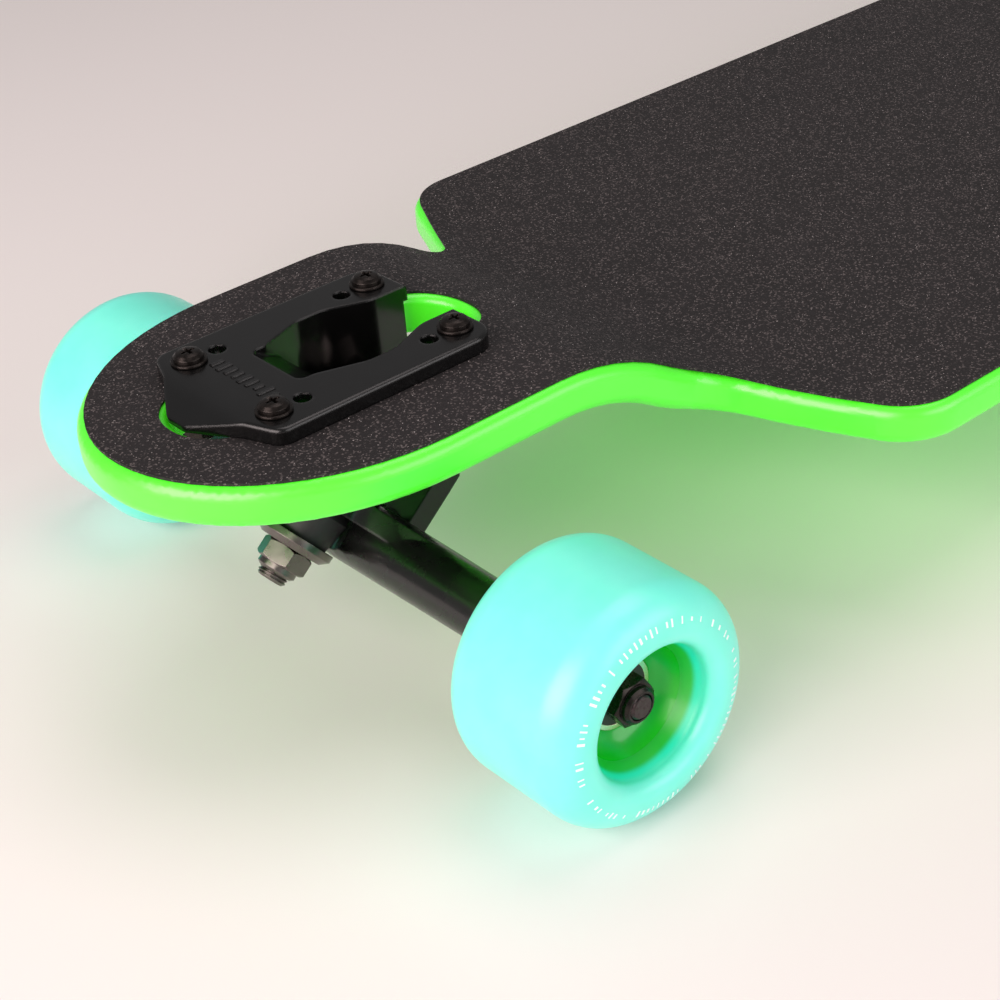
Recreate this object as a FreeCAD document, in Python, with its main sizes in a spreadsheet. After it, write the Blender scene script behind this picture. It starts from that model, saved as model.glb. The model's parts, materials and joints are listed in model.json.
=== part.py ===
"""Drop-through longboard skateboard: dropped twin deck, two reverse-kingpin trucks, four wheels.

Frame: +X runs along the board from the nose (-X) to the tail (+X), +Z is up, and the origin is on
the ground under the middle of the board.  Sizes are in millimetres.

Each truck is drawn once in its own frame, with the nose outboard towards -X, and is placed twice:
under the nose as drawn and under the tail turned half round.
"""
import math
import os
import re

import FreeCAD
import Part
import Sketcher

Vector = FreeCAD.Vector
Placement = FreeCAD.Placement
Rotation = FreeCAD.Rotation
X_AXIS = Vector(1, 0, 0)
Y_AXIS = Vector(0, 1, 0)
Z_AXIS = Vector(0, 0, 1)

doc = FreeCAD.newDocument("skateboard")
sheet = doc.addObject("Spreadsheet::Sheet", "Sizes")

# Driving dimensions: alias, value, what it measures.
SIZES = [
    ("deck_length", 910.4, "nose tip to tail tip"),
    ("deck_width", 238.0, "across the platform"),
    ("deck_thick", 12.5, "laminated maple"),
    ("deck_drop", 24.0, "platform top below the truck lobes"),
    ("deck_round", 4.0, "rounding of the rails"),
    ("lobe_half", 61.0, "half width of a truck lobe"),
    ("lobe_curve", 73.0, "length of the elliptic nose"),
    ("nose_reach", 74.25, "nose tip to the middle of the bolt pattern"),
    ("neck_at", 168.8, "nose tip to the corner behind the lobe"),
    ("neck_round", 15.0, "radius in that corner"),
    ("shoulder_at", 196.1, "nose tip to the corner of the platform"),
    ("shoulder_round", 23.0, "radius on that corner"),
    ("drop_at", 111.2, "nose tip to the start of the bend"),
    ("drop_run", 82.0, "length of the S bend"),
    ("grip_thick", 0.8, "grit sheet"),
    ("grip_inset", 2.6, "bare rail outside the grit sheet"),
    ("slot_round", 2.4, "rounding round the drop-through opening"),
    ("slot_half_length", 50.0, "drop-through opening, half length"),
    ("slot_half_width", 15.3, "its ends between the bolts, half width"),
    ("slot_mid_length", 26.6, "its wide middle, half length"),
    ("slot_mid_width", 24.0, "its wide middle, half width"),
    ("bolt_length", 63.5, "truck hole pattern along the board, outer holes"),
    ("bolt_inner", 44.5, "truck hole pattern along the board, inner holes"),
    ("bolt_across", 41.3, "truck hole pattern across the board"),
    ("bolt_size", 4.8, "mounting bolt diameter"),
    ("bolt_hole", 5.4, "hole for a mounting bolt"),
    ("bolt_head", 8.8, "pan head diameter"),
    ("bolt_head_high", 2.4, "pan head height"),
    ("bolt_washer", 10.6, "washer under the head"),
    ("washer_thick", 1.0, "every flat washer"),
    ("bolt_nut_flats", 9.5, "mounting nut across flats"),
    ("bolt_nut_high", 6.2, "mounting nut height"),
    ("flange_half", 31.05, "base plate half width"),
    ("flange_thick", 5.0, "base plate thickness"),
    ("flange_inboard", 39.4, "bolt pattern middle to the tips of the arms"),
    ("flange_shoulder", 37.0, "bolt pattern middle to the outboard corners"),
    ("tongue_reach", 50.6, "bolt pattern middle to the tip of the tongue"),
    ("tongue_half", 12.0, "tongue half width"),
    ("pocket_start", 17.2, "bolt pattern middle to the outboard end of the pocket"),
    ("pocket_half", 17.4, "pocket half width at its middle"),
    ("pocket_mouth", 11.4, "pocket half width at its open end"),
    ("web_thick", 3.3, "side webs of the base plate"),
    ("seat_wall", 7.0, "sloping wall that carries the kingpin"),
    ("kingpin_boss", 5.0, "extra thickness under the kingpin head"),
    ("plate_height", 58.1, "axle to the underside of the base plate"),
    ("truck_angle", 50.0, "turning axis above the horizontal, degrees"),
    ("axle_offset", 1.65, "axle inboard of the middle of the bolt pattern"),
    ("axle_along", 17.5, "kingpin to axle along the turning axis"),
    ("axle_rake", 4.86, "axle off the turning axis"),
    ("ring_thick", 7.0, "hanger ring between the bushings"),
    ("ring_radius", 15.0, "hanger ring outside"),
    ("kingpin_size", 9.5, "kingpin diameter"),
    ("kingpin_flats", 14.3, "kingpin head and nut across flats"),
    ("kingpin_nut_high", 8.6, "kingpin nut height"),
    ("bushing_radius", 11.0, "urethane bushings"),
    ("bushing_board", 13.5, "boardside bushing height"),
    ("bushing_road", 13.0, "roadside bushing height"),
    ("cup_thick_board", 1.5, "cup washer at the base plate"),
    ("cup_thick_road", 3.0, "cup washer under the kingpin nut"),
    ("cup_radius", 12.3, "cup washers outside"),
    ("horn_at", 29.0, "kingpin to the face of the pivot horn"),
    ("horn_long", 8.0, "pivot horn length"),
    ("horn_radius", 8.0, "pivot horn outside"),
    ("pivot_radius", 4.6, "pivot pin"),
    ("pivot_cup_wall", 1.8, "urethane pivot cup wall"),
    ("pivot_gap", 0.05, "running clearance of the pivot pin"),
    ("hanger_half", 91.0, "half length of the hanger"),
    ("hanger_radius", 9.6, "hanger beam"),
    ("axle_size", 7.94, "axle diameter"),
    ("axle_half", 124.9, "half length of the axle"),
    ("axle_nut_flats", 12.7, "axle nut across flats"),
    ("axle_nut_high", 7.4, "axle nut height"),
    ("bearing_outer", 22.0, "608 bearing outside"),
    ("bearing_wide", 7.0, "608 bearing width"),
    ("spacer_long", 10.0, "between the two bearings"),
    ("spacer_radius", 5.2, "bearing spacer outside"),
    ("race_gap", 0.06, "running clearance of the balls"),
    ("ball_radius", 1.9, "bearing balls"),
    ("wheel_radius", 35.7, "tyre outside"),
    ("wheel_wide", 48.9, "tyre width"),
    ("wheel_lip", 11.0, "tyre lip radius"),
    ("wheel_offset", 3.2, "tyre middle outboard of the bearing middle"),
    ("recess_radius", 20.0, "hub recess at its rim"),
    ("recess_dip", 4.6, "rim of the recess below the face of the tyre"),
    ("core_radius", 15.0, "hard core outside"),
    ("core_rim", 16.8, "hard core where it shows in the recess"),
]

for row, (alias, value, meaning) in enumerate(SIZES, start=1):
    sheet.set(f"A{row}", meaning)
    sheet.set(f"B{row}", str(value))
    sheet.setAlias(f"B{row}", alias)
doc.recompute()
SHEET_NAMES = {alias: f"Sizes.{alias}" for alias, _, _ in SIZES}

# Levels on the kingpin, above and below the middle of the hanger ring.
SEAT = "ring_thick / 2 + bushing_board + cup_thick_board"
ROAD = "ring_thick / 2 + bushing_road + cup_thick_road"

# The 608 bearing inside: the ball circle, the balls and the two rings' facing radii.
PITCH = "(axle_size + bearing_outer) / 4 + 0.1"
BALLS = 7
INNER_LAND = "6.0"
OUTER_LAND = "9.3"
SHIELD_BORE = "6.15"


class Values:
    """The sheet's cells as plain numbers, read by alias."""

    def __getattr__(self, alias):
        return float(sheet.get(alias))


v = Values()

# ---------------------------------------------------------------------------------------------
# Heights and the truck's frames, worked out from the driving dimensions
# ---------------------------------------------------------------------------------------------
axle_height = v.wheel_radius
flange_bottom = axle_height + v.plate_height
flange_top = flange_bottom + v.flange_thick
deck_top = flange_bottom - v.grip_thick
deck_bottom = deck_top - v.deck_thick
truck_middle = v.deck_length / 2 - v.nose_reach
angle = math.radians(v.truck_angle)

# The turning axis runs down and inboard; the kingpin is square to it.
along_axis = Vector(math.cos(angle), 0, -math.sin(angle))
up_kingpin = Vector(math.sin(angle), 0, math.cos(angle))
axle_centre = Vector(v.axle_offset, 0, axle_height)
ring_centre = axle_centre - along_axis * v.axle_along + up_kingpin * v.axle_rake
ring_half = v.ring_thick / 2
seat_distance = ring_half + v.bushing_board + v.cup_thick_board
nut_distance = ring_half + v.bushing_road + v.cup_thick_road
head_distance = seat_distance + v.seat_wall + v.kingpin_boss
bearing_start = v.hanger_half + v.washer_thick
bearing_end = bearing_start + 2 * v.bearing_wide + v.spacer_long
wheel_middle = (bearing_start + bearing_end) / 2 + v.wheel_offset

KINGPIN_FRAME = Placement(ring_centre, Rotation(Y_AXIS, v.truck_angle))
PIVOT_FRAME = KINGPIN_FRAME.multiply(Placement(Vector(), Rotation(Y_AXIS, 90)))
ENDS = {
    "nose": Placement(Vector(-truck_middle, 0, 0), Rotation()),
    "tail": Placement(Vector(truck_middle, 0, 0), Rotation(Z_AXIS, 180)),
}
# On each side the wheel pieces are turned about their own Z, which points outboard along the axle.
SIDES = {
    "left": Placement(axle_centre, Rotation(X_AXIS, 90)),
    "right": Placement(axle_centre, Rotation(X_AXIS, -90)),
}
AXLE_FRAME = SIDES["right"]

nodes = []


def finish(item, label, place=None):
    """Name a finished piece, put it in its place and keep it for writing."""
    item.Label = label
    if place is not None:
        item.Placement = place
    nodes.append(item)
    return item


# ---------------------------------------------------------------------------------------------
# Sketch helpers
# ---------------------------------------------------------------------------------------------
def join_ends(sketch, count, first=0):
    """Tie each edge of a closed loop to the next one."""
    for index in range(count):
        following = first + (index + 1) % count
        sketch.addConstraint(Sketcher.Constraint("Coincident", first + index, 2, following, 1))


def draw_loop(sketch, edges):
    """Add a closed loop of lines and arcs, each running on from the one before."""
    first = sketch.GeometryCount
    for edge in edges:
        sketch.addGeometry(edge, False)
    for index in range(len(edges)):
        sketch.addConstraint(Sketcher.Constraint("Block", first + index))
    return sketch


def rounded(corners):
    """Edges of a closed outline from (x, y, radius) corners, with tangent arcs in the corners."""
    starts, edges, arcs = [], [], []
    count = len(corners)
    for index in range(count):
        here = Vector(corners[index][0], corners[index][1], 0)
        before = Vector(corners[index - 1][0], corners[index - 1][1], 0)
        after = Vector(corners[(index + 1) % count][0], corners[(index + 1) % count][1], 0)
        radius = corners[index][2]
        back = (before - here).normalize()
        ahead = (after - here).normalize()
        half = math.acos(max(-1.0, min(1.0, back.dot(ahead)))) / 2
        if radius <= 0 or abs(half - math.pi / 2) < 1e-6:
            starts.append((here, here))
            arcs.append(None)
            continue
        reach = radius / math.tan(half)
        enter = here + back * reach
        leave = here + ahead * reach
        middle = here + (back + ahead).normalize() * (radius / math.sin(half) - radius)
        starts.append((enter, leave))
        arcs.append(Part.Arc(enter, middle, leave))
    for index in range(count):
        if arcs[index] is not None:
            edges.append(arcs[index])
        leave = starts[index][1]
        enter = starts[(index + 1) % count][0]
        if leave.distanceToPoint(enter) > 1e-6:
            edges.append(Part.LineSegment(leave, enter))
    return edges


def mirrored(half_corners):
    """Close a symmetric outline from the corners on its +Y side, listed along X."""
    other = [(x, -y, radius) for x, y, radius in reversed(half_corners) if abs(y) > 1e-9]
    return list(half_corners) + other


def evaluate(expression):
    """Value of a sheet expression such as 'bearing_wide + 2'."""
    return float(sheet.evalExpression(expression))


def bound_profile(sketch, corners):
    """Closed polygon whose every corner is bound to the sheet by expressions in aliases."""
    points = [Vector(evaluate(across), evaluate(up), 0) for across, up in corners]
    count = len(points)
    for index in range(count):
        sketch.addGeometry(Part.LineSegment(points[index], points[(index + 1) % count]), False)
    join_ends(sketch, count)
    for index, (across, up) in enumerate(corners):
        for kind, expression, value in (
            ("DistanceX", across, points[index].x),
            ("DistanceY", up, points[index].y),
        ):
            number = sketch.addConstraint(Sketcher.Constraint(kind, -1, 1, index, 1, value))
            sketch.setExpression(f"Constraints[{number}]", with_sheet(expression))


def with_sheet(expression):
    """Turn bare aliases into references to the sheet."""
    return re.sub(r"[a-z]\w+", lambda word: SHEET_NAMES.get(word.group(), word.group()), expression)


def bind(item, **expressions):
    """Bind an object's properties to the sheet."""
    for name, expression in expressions.items():
        item.setExpression(name.replace("__", "."), with_sheet(expression))
    return item


def plane(body, role):
    """One of the body's own origin planes."""
    return next(item for item in body.Origin.OriginFeatures if item.Role == role)


def body_sketch(body, role, name):
    """A sketch on one of the body's origin planes."""
    sketch = body.newObject("Sketcher::SketchObject", name)
    sketch.AttachmentSupport = [(plane(body, role), "")]
    sketch.MapMode = "FlatFace"
    return sketch


def turned(name, corners):
    """A body turned about its own Z from a profile of (radius, height) expressions."""
    body = doc.addObject("PartDesign::Body", name)
    sketch = body_sketch(body, "XZ_Plane", name + "_profile")
    bound_profile(sketch, corners)
    feature = body.newObject("PartDesign::Revolution", name + "_turned")
    feature.Profile = sketch
    feature.ReferenceAxis = (sketch, ["V_Axis"])
    feature.Angle = 360
    doc.recompute()
    return body


def slab(name, edges, bottom, top, upright=False):
    """A closed outline pushed from one level to another: along Z, or along Y when upright."""
    sketch = doc.addObject("Sketcher::SketchObject", name + "_outline")
    if upright:
        sketch.Placement = Placement(Vector(), Rotation(X_AXIS, 90))
    draw_loop(sketch, edges)
    item = doc.addObject("Part::Extrusion", name)
    item.Base = sketch
    item.DirMode = "Custom"
    item.Dir = Y_AXIS if upright else Z_AXIS
    item.Solid = True
    bind(item, LengthFwd=top, LengthRev=f"-({bottom})")
    return item


def cylinder(name, radius, height, place, bottom="0"):
    """A Part cylinder that stands on a level of its own frame."""
    item = doc.addObject("Part::Cylinder", name)
    bind(item, Radius=radius, Height=height)
    item.Placement = place.multiply(Placement(Vector(0, 0, evaluate(bottom)), Rotation()))
    return item


def fused(name, items):
    item = doc.addObject("Part::MultiFuse", name)
    item.Shapes = items
    item.Refine = True
    return item


def common(name, items):
    item = doc.addObject("Part::MultiCommon", name)
    item.Shapes = items
    return item


def cut(name, base, tools):
    """The base less every tool."""
    item = doc.addObject("Part::Cut", name)
    item.Base = base
    item.Tool = tools[0] if len(tools) == 1 else fused(name + "_tools", tools)
    return item


def group(name, master, places):
    """Several identical pieces as separate solids of one node."""
    item = doc.addObject("Part::Feature", name)
    item.Shape = Part.makeCompound([master.Shape.transformed(p.toMatrix(), True) for p in places])
    return item


def at_height(height, x=0.0, y=0.0):
    return Placement(Vector(x, y, height), Rotation())


# ---------------------------------------------------------------------------------------------
# Deck and grip
# ---------------------------------------------------------------------------------------------
BEYOND = 10
OVER_BOARD = f"wheel_radius + plate_height + {BEYOND}"
SLOT_END_ROUND = 0.96
SLOT_INNER_ROUND = 3.4
SLOT_OUTER_ROUND = 4.0


def board_outline(inset):
    """Edges of the board seen from above, drawn in by an inset."""
    half = v.deck_length / 2
    lobe = v.lobe_half - inset
    side = v.deck_width / 2 - inset
    slope = math.atan2(v.deck_width / 2 - v.lobe_half, v.shoulder_at - v.neck_at)
    shift = inset * math.tan(slope / 2)
    curve_end = half - v.lobe_curve
    neck = half - v.neck_at + shift
    shoulder = half - v.shoulder_at - shift
    neck_round = v.neck_round + inset
    shoulder_round = v.shoulder_round - inset
    edges = []
    right = [
        (-curve_end, lobe, 0),
        (-neck, lobe, neck_round),
        (-shoulder, side, shoulder_round),
        (shoulder, side, shoulder_round),
        (neck, lobe, neck_round),
        (curve_end, lobe, 0),
    ]
    left = [(-x, -y, radius) for x, y, radius in right]
    loop = rounded(right + left)
    gaps = [
        index
        for index, edge in enumerate(loop)
        if isinstance(edge, Part.LineSegment) and abs(edge.StartPoint.x - edge.EndPoint.x) < 1e-6
    ]
    for index, edge in enumerate(loop):
        if index not in gaps:
            edges.append(edge)
            continue
        side_sign = math.copysign(1, edge.StartPoint.x)
        centre = Vector(side_sign * curve_end, 0, 0)
        ellipse = Part.Ellipse(centre, v.lobe_curve - inset, lobe)
        turn = -math.pi / 2 if side_sign > 0 else math.pi / 2
        edges.append(Part.ArcOfEllipse(ellipse, turn, turn + math.pi))
    return edges


def board_band(top, bottom):
    """Edges of the board seen from the side, between two depths under the deck's top face."""
    half = v.deck_length / 2 + BEYOND
    start = v.deck_length / 2 - v.drop_at
    end = start - v.drop_run
    bend = 2 * math.atan2(v.deck_drop, v.drop_run)
    radius = v.drop_run / 2 / math.sin(bend)

    def line(depth):
        high = deck_top - depth
        low = high - v.deck_drop
        outer, inner = radius - depth, radius + depth
        crest = Vector(start, high - outer, 0)
        dip = Vector(end, low + inner, 0)
        meet = crest + Vector(-math.sin(bend), math.cos(bend), 0) * outer
        crest_mid = crest + Vector(-math.sin(bend / 2), math.cos(bend / 2), 0) * outer
        dip_mid = dip + Vector(math.sin(bend / 2), -math.cos(bend / 2), 0) * inner
        tail = [
            (Vector(end, low, 0), dip_mid, meet),
            (meet, crest_mid, Vector(start, high, 0)),
        ]
        nose = [
            tuple(Vector(-point.x, point.y, 0) for point in reversed(arc)) for arc in reversed(tail)
        ]
        path = [Part.LineSegment(Vector(-half, high, 0), Vector(-start, high, 0))]
        path += [Part.Arc(*arc) for arc in nose]
        path.append(Part.LineSegment(Vector(-end, low, 0), Vector(end, low, 0)))
        path += [Part.Arc(*arc) for arc in tail]
        path.append(Part.LineSegment(Vector(start, high, 0), Vector(half, high, 0)))
        return path

    upper = line(top)
    lower = line(bottom)
    right = Part.LineSegment(upper[-1].EndPoint, lower[-1].EndPoint)
    left = Part.LineSegment(lower[0].StartPoint, upper[0].StartPoint)
    return upper + [right] + lower + [left]


def slot_outline(middle, grow):
    """The drop-through opening round one truck, made wider by grow."""
    long = v.slot_half_length + grow
    narrow = v.slot_half_width + grow
    wide = v.slot_mid_width + grow
    mid = v.slot_mid_length + grow
    quarter = [
        (-long, narrow, SLOT_END_ROUND * narrow),
        (-mid, narrow, SLOT_INNER_ROUND),
        (-mid, wide, SLOT_OUTER_ROUND),
        (mid, wide, SLOT_OUTER_ROUND),
        (mid, narrow, SLOT_INNER_ROUND),
        (long, narrow, SLOT_END_ROUND * narrow),
    ]
    corners = quarter + [(-x, -y, radius) for x, y, radius in quarter]
    return rounded([(x + middle, y, radius) for x, y, radius in corners])


def board_sheet(label, top, bottom, inset):
    """One layer of the board: its side view pushed across, trimmed to the outline."""
    band_sketch = doc.addObject("Sketcher::SketchObject", label + "_side")
    band_sketch.Placement = Placement(Vector(), Rotation(X_AXIS, 90))
    for edge in board_band(top, bottom):
        band_sketch.addGeometry(edge, False)
    band = doc.addObject("Part::Extrusion", label + "_band")
    band.Base = band_sketch
    band.DirMode = "Custom"
    band.Dir = Y_AXIS
    band.Solid = True
    bind(band, LengthFwd="deck_width", LengthRev="deck_width")
    plan = slab(label + "_plan", board_outline(inset), "0", OVER_BOARD)
    return common(label + "_trimmed", [band, plan])


def slots(label, grow):
    """The drop-through openings of both trucks."""
    return [
        slab(
            f"{label}_{end}_slot", slot_outline(sign * truck_middle, grow),
            "0", OVER_BOARD,
        )
        for end, sign in (("nose", -1), ("tail", 1))
    ]


def bolt_places():
    """Middles of the four outer bolts of one truck."""
    return [(x * v.bolt_length / 2, y * v.bolt_across / 2) for x in (-1, 1) for y in (-1, 1)]


def bolt_bores(label):
    """The holes through the board for both trucks' bolts."""
    return [
        cylinder(
            f"{label}_hole", "bolt_hole / 2", OVER_BOARD,
            at_height(0, sign * truck_middle + x, y),
        )
        for sign in (-1, 1) for x, y in bolt_places()
    ]


def middle_normal(face):
    low_u, high_u, low_v, high_v = face.ParameterRange
    return face.normalAt((low_u + high_u) / 2, (low_v + high_v) / 2)


def anywhere(face):
    return True


def in_slot(face):
    """Whether a wall belongs to a drop-through opening."""
    middle = face.CenterOfMass
    along = abs(abs(middle.x) - truck_middle)
    return abs(middle.y) < v.slot_mid_width + 1 and along < v.slot_half_length + 1


def round_rims(name, base, radius, wanted, above=0.0):
    """Round the upper and lower edges of the base's upright walls where wanted(face) holds."""
    doc.recompute()
    faces = base.Shape.Faces
    walls = [face for face in faces if abs(middle_normal(face).z) < 0.01 and wanted(face)]
    numbers = []
    for number, edge in enumerate(base.Shape.Edges, start=1):
        touching = [face for face in walls if any(edge.isSame(other) for other in face.Edges)]
        if len(touching) == 1 and edge.CenterOfMass.z > above:
            numbers.append(number)
    item = doc.addObject("Part::Fillet", name)
    item.Base = base
    item.Edges = [(number, radius, radius) for number in numbers]
    return item


def make_deck():
    blank = board_sheet("deck", 0, v.deck_thick, 0)
    railed = round_rims("deck_rails", blank, v.deck_round, anywhere)
    opened = cut("deck_opened", railed, slots("deck", 0))
    eased = round_rims("deck_eased", opened, v.slot_round, in_slot)
    return finish(cut("deck_drilled", eased, bolt_bores("deck")), "deck")


def make_grip():
    blank = board_sheet("grip", -v.grip_thick, 0, v.grip_inset)
    tools = slots("grip", v.grip_inset) + bolt_bores("grip")
    return finish(cut("grip_cut", blank, tools), "grip_tape")


# ---------------------------------------------------------------------------------------------
# Base plate
# ---------------------------------------------------------------------------------------------
FLANGE_EDGE = 1.2
TONGUE_FALL = 4.4
TONGUE_FALL_START = 3.0
WEDGE_WIDE_DOWN_TO = 36
WEDGE_NARROW_FROM = 48
WEDGE_REACH = 60
WEDGE_SET_BACK = 1.6
FOOT_RISE = 5
POCKET_NOSE = 0.69
POCKET_NARROW_TO = -12.0
POCKET_WIDE_FROM = 3.0
POCKET_WIDE_TO = 12.5
POCKET_MOUTH_FROM = 26.5
POCKET_ROUND = 12
POCKET_FLOOR_RISE = 16
RAMP_ANGLE = 30
BOSS_SIZE = 0.66
CUP_FLOOR = 2.4


def flange_outline():
    """Flat top of the base plate: a tongue outboard and two arms inboard."""
    return rounded(mirrored([
        (-v.tongue_reach, 0.35 * v.tongue_half, 4),
        (-v.flange_shoulder - 9, v.tongue_half, 8),
        (-v.flange_shoulder - 4.5, 1.6 * v.tongue_half, 3),
        (-v.flange_shoulder, v.flange_half, 5),
        (v.flange_inboard, v.flange_half, 8),
    ]))


def pocket_half_outline(grow, start, end):
    """Half outline of the pocket, or of the webs round it when grown."""
    nose_half = POCKET_NOSE * v.pocket_half + grow
    return [
        (start, nose_half, 3),
        (POCKET_NARROW_TO, nose_half, 8),
        (POCKET_WIDE_FROM, v.pocket_half + grow, POCKET_ROUND),
        (POCKET_WIDE_TO, v.pocket_half + grow, POCKET_ROUND),
        (POCKET_MOUTH_FROM, v.pocket_mouth + grow, POCKET_ROUND),
        (end, v.pocket_mouth + grow, 0),
    ]


def seat_line(distance):
    """Point on the seat plane's trace at a height above the ground, set off from the plane."""
    base = ring_centre + up_kingpin * (seat_distance + distance)
    return lambda height: base.x + (base.z - height) / math.tan(angle)


def point_2d(vector):
    return Vector(vector.x, vector.z, 0)


def polygon(points):
    return [
        Part.LineSegment(points[index], points[(index + 1) % len(points)])
        for index in range(len(points))
    ]


def make_baseplate():
    flange = slab("flange", flange_outline(), "wheel_radius + plate_height",
                  "wheel_radius + plate_height + flange_thick")
    slope = doc.addObject("Sketcher::SketchObject", "tongue_slope")
    slope.Placement = Placement(Vector(), Rotation(X_AXIS, 90))
    fall_start = -v.flange_shoulder - TONGUE_FALL_START
    draw_loop(slope, polygon([
        Vector(fall_start, flange_top, 0),
        Vector(-v.tongue_reach - 4, flange_top, 0),
        Vector(-v.tongue_reach - 4, flange_top - TONGUE_FALL, 0),
    ]))
    fall = doc.addObject("Part::Extrusion", "tongue_fall")
    fall.Base = slope
    fall.DirMode = "Custom"
    fall.Dir = Y_AXIS
    fall.Solid = True
    bind(fall, LengthFwd="flange_half", LengthRev="flange_half")
    eased = round_rims("flange_eased", flange, FLANGE_EDGE, anywhere, flange_bottom + 1)
    top_plate = cut("top_plate", eased, [fall])

    # The wedge under the flange: seat wall, side webs and the foot that carries the pivot horn.
    outer = seat_line(0)
    horn_end = v.horn_at + v.horn_long
    foot = ring_centre + up_kingpin * seat_distance + along_axis * horn_end
    back = v.flange_inboard - WEDGE_SET_BACK
    wedge_side = slab("wedge_side", polygon([
        Vector(outer(flange_bottom + 1), flange_bottom + 1, 0),
        point_2d(foot),
        Vector(back, foot.z + FOOT_RISE, 0),
        Vector(back, flange_bottom + 1, 0),
    ]), "-flange_half", "flange_half", upright=True)
    wedge_plan = slab(
        "wedge_plan", rounded(mirrored(pocket_half_outline(v.web_thick, -v.pocket_start - 1.4, back))),
        "0", "wheel_radius + plate_height + 1",
    )
    wide = v.pocket_half + v.web_thick + 1
    wide_down_to = flange_bottom - WEDGE_WIDE_DOWN_TO
    narrow_at = flange_bottom - WEDGE_NARROW_FROM
    wedge_front = slab("wedge_front", polygon([
        Vector(-wide, flange_bottom + 1, 0),
        Vector(-wide, wide_down_to, 0),
        Vector(-v.horn_radius, narrow_at, 0),
        Vector(-v.horn_radius, 0, 0),
        Vector(v.horn_radius, 0, 0),
        Vector(v.horn_radius, narrow_at, 0),
        Vector(wide, wide_down_to, 0),
        Vector(wide, flange_bottom + 1, 0),
    ]), f"-{WEDGE_REACH}", f"{WEDGE_REACH}", upright=True)
    wedge_front.Placement = Placement(Vector(), Rotation(Z_AXIS, 90))
    wedge = common("wedge", [wedge_side, wedge_plan, wedge_front])

    block_out = ring_centre + along_axis * v.horn_at
    block_in = ring_centre + along_axis * horn_end
    seat_up = up_kingpin * (seat_distance + 2)
    horn_block = slab("horn_block", polygon([
        point_2d(block_out), point_2d(block_in), point_2d(block_in + seat_up),
        point_2d(block_out + seat_up),
    ]), "-horn_radius", "horn_radius", upright=True)
    horn = cylinder("horn", "horn_radius", "horn_long", PIVOT_FRAME, "horn_at")
    blank = fused("baseplate_blank", [top_plate, wedge, horn_block, horn])

    # The pocket: a short ramp, then the inner face of the seat wall, open at the inboard end.
    inner = seat_line(v.seat_wall)
    ramp_fall = math.tan(math.radians(RAMP_ANGLE))
    inner_top = inner(flange_top)
    steep = math.tan(angle)
    ramp_x = (steep * inner_top + ramp_fall * v.pocket_start) / (steep - ramp_fall)
    ramp_z = flange_top - (ramp_x + v.pocket_start) * ramp_fall
    floor = foot.z + POCKET_FLOOR_RISE
    pocket_side = slab("pocket_side", polygon([
        Vector(-v.pocket_start, flange_top, 0),
        Vector(ramp_x, ramp_z, 0),
        Vector(inner(floor), floor, 0),
        Vector(v.flange_inboard + 5, floor, 0),
        Vector(v.flange_inboard + 5, flange_top + 5, 0),
        Vector(-v.pocket_start, flange_top + 5, 0),
    ]), "-flange_half", "flange_half", upright=True)
    pocket_plan = slab(
        "pocket_plan", rounded(mirrored(pocket_half_outline(0, -v.pocket_start, v.flange_inboard + 5))),
        "0", "wheel_radius + plate_height + flange_thick + 5",
    )
    pocket = common("pocket", [pocket_side, pocket_plan])
    hollowed = cut("baseplate_hollowed", blank, [pocket])
    boss_height = "seat_wall + kingpin_boss - 1"
    boss = cylinder("kingpin_seat", f"kingpin_flats * {BOSS_SIZE}", boss_height, KINGPIN_FRAME,
                    f"{SEAT} + 1")
    body = fused("baseplate_body", [hollowed, boss])
    bores = [
        cylinder("kingpin_bore", "kingpin_size / 2", f"{SEAT} + seat_wall + kingpin_boss + 5",
                 KINGPIN_FRAME),
        cylinder("cup_bore", "pivot_radius + pivot_gap + pivot_cup_wall", f"horn_long - {CUP_FLOOR}",
                 PIVOT_FRAME, "horn_at"),
    ]
    for row in (v.bolt_length / 2, v.bolt_inner / 2):
        for x in (-row, row):
            for y in (-v.bolt_across / 2, v.bolt_across / 2):
                bores.append(cylinder("plate_hole", "bolt_hole / 2", "flange_thick + 20",
                                      at_height(flange_bottom - 4, x, y)))
    return cut("baseplate_cut", body, bores)


def hex_piece(name, flats, blank):
    """A turned blank trimmed to a hexagon."""
    prism = doc.addObject("Part::Prism", name + "_hexagon")
    prism.Polygon = 6
    bind(prism, Circumradius=f"({flats}) / sqrt(3)", Height="4 * axle_half")
    prism.Placement = at_height(-2 * v.axle_half)
    doc.recompute()
    return common(name + "_hex", [prism, blank])


def nut_profile(flats, bore, bottom, height, collar="0.28"):
    """Nylon-insert nut from its seat at bottom up to the collar, as (radius, height)."""
    corner = f"({flats}) / sqrt(3)"
    flat = f"({flats}) / 2"
    top = f"({bottom}) + ({height})"
    shoulder = f"({bottom}) + ({height}) * (1 - {collar})"
    return [
        (bore, bottom),
        (f"{flat} * 0.97", bottom),
        (corner, f"({bottom}) + ({corner} - {flat}) * 0.75"),
        (corner, f"({shoulder}) - ({corner} - {flat}) * 0.75"),
        (f"{flat} * 0.97", shoulder),
        (f"{flat} * 0.86", shoulder),
        (f"{flat} * 0.86", f"({top}) - 0.8"),
        (f"{flat} * 0.72", top),
        (bore, top),
    ]


# ---------------------------------------------------------------------------------------------
# Kingpin, bushings and pivot cup
# ---------------------------------------------------------------------------------------------
def tube_profile(inner, outer, bottom, top, edge="0.4"):
    """A ring with eased outer edges."""
    return [
        (inner, bottom), (f"({outer}) - {edge}", bottom), (outer, f"({bottom}) + {edge}"),
        (outer, f"({top}) - {edge}"), (f"({outer}) - {edge}", top), (inner, top),
    ]


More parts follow.
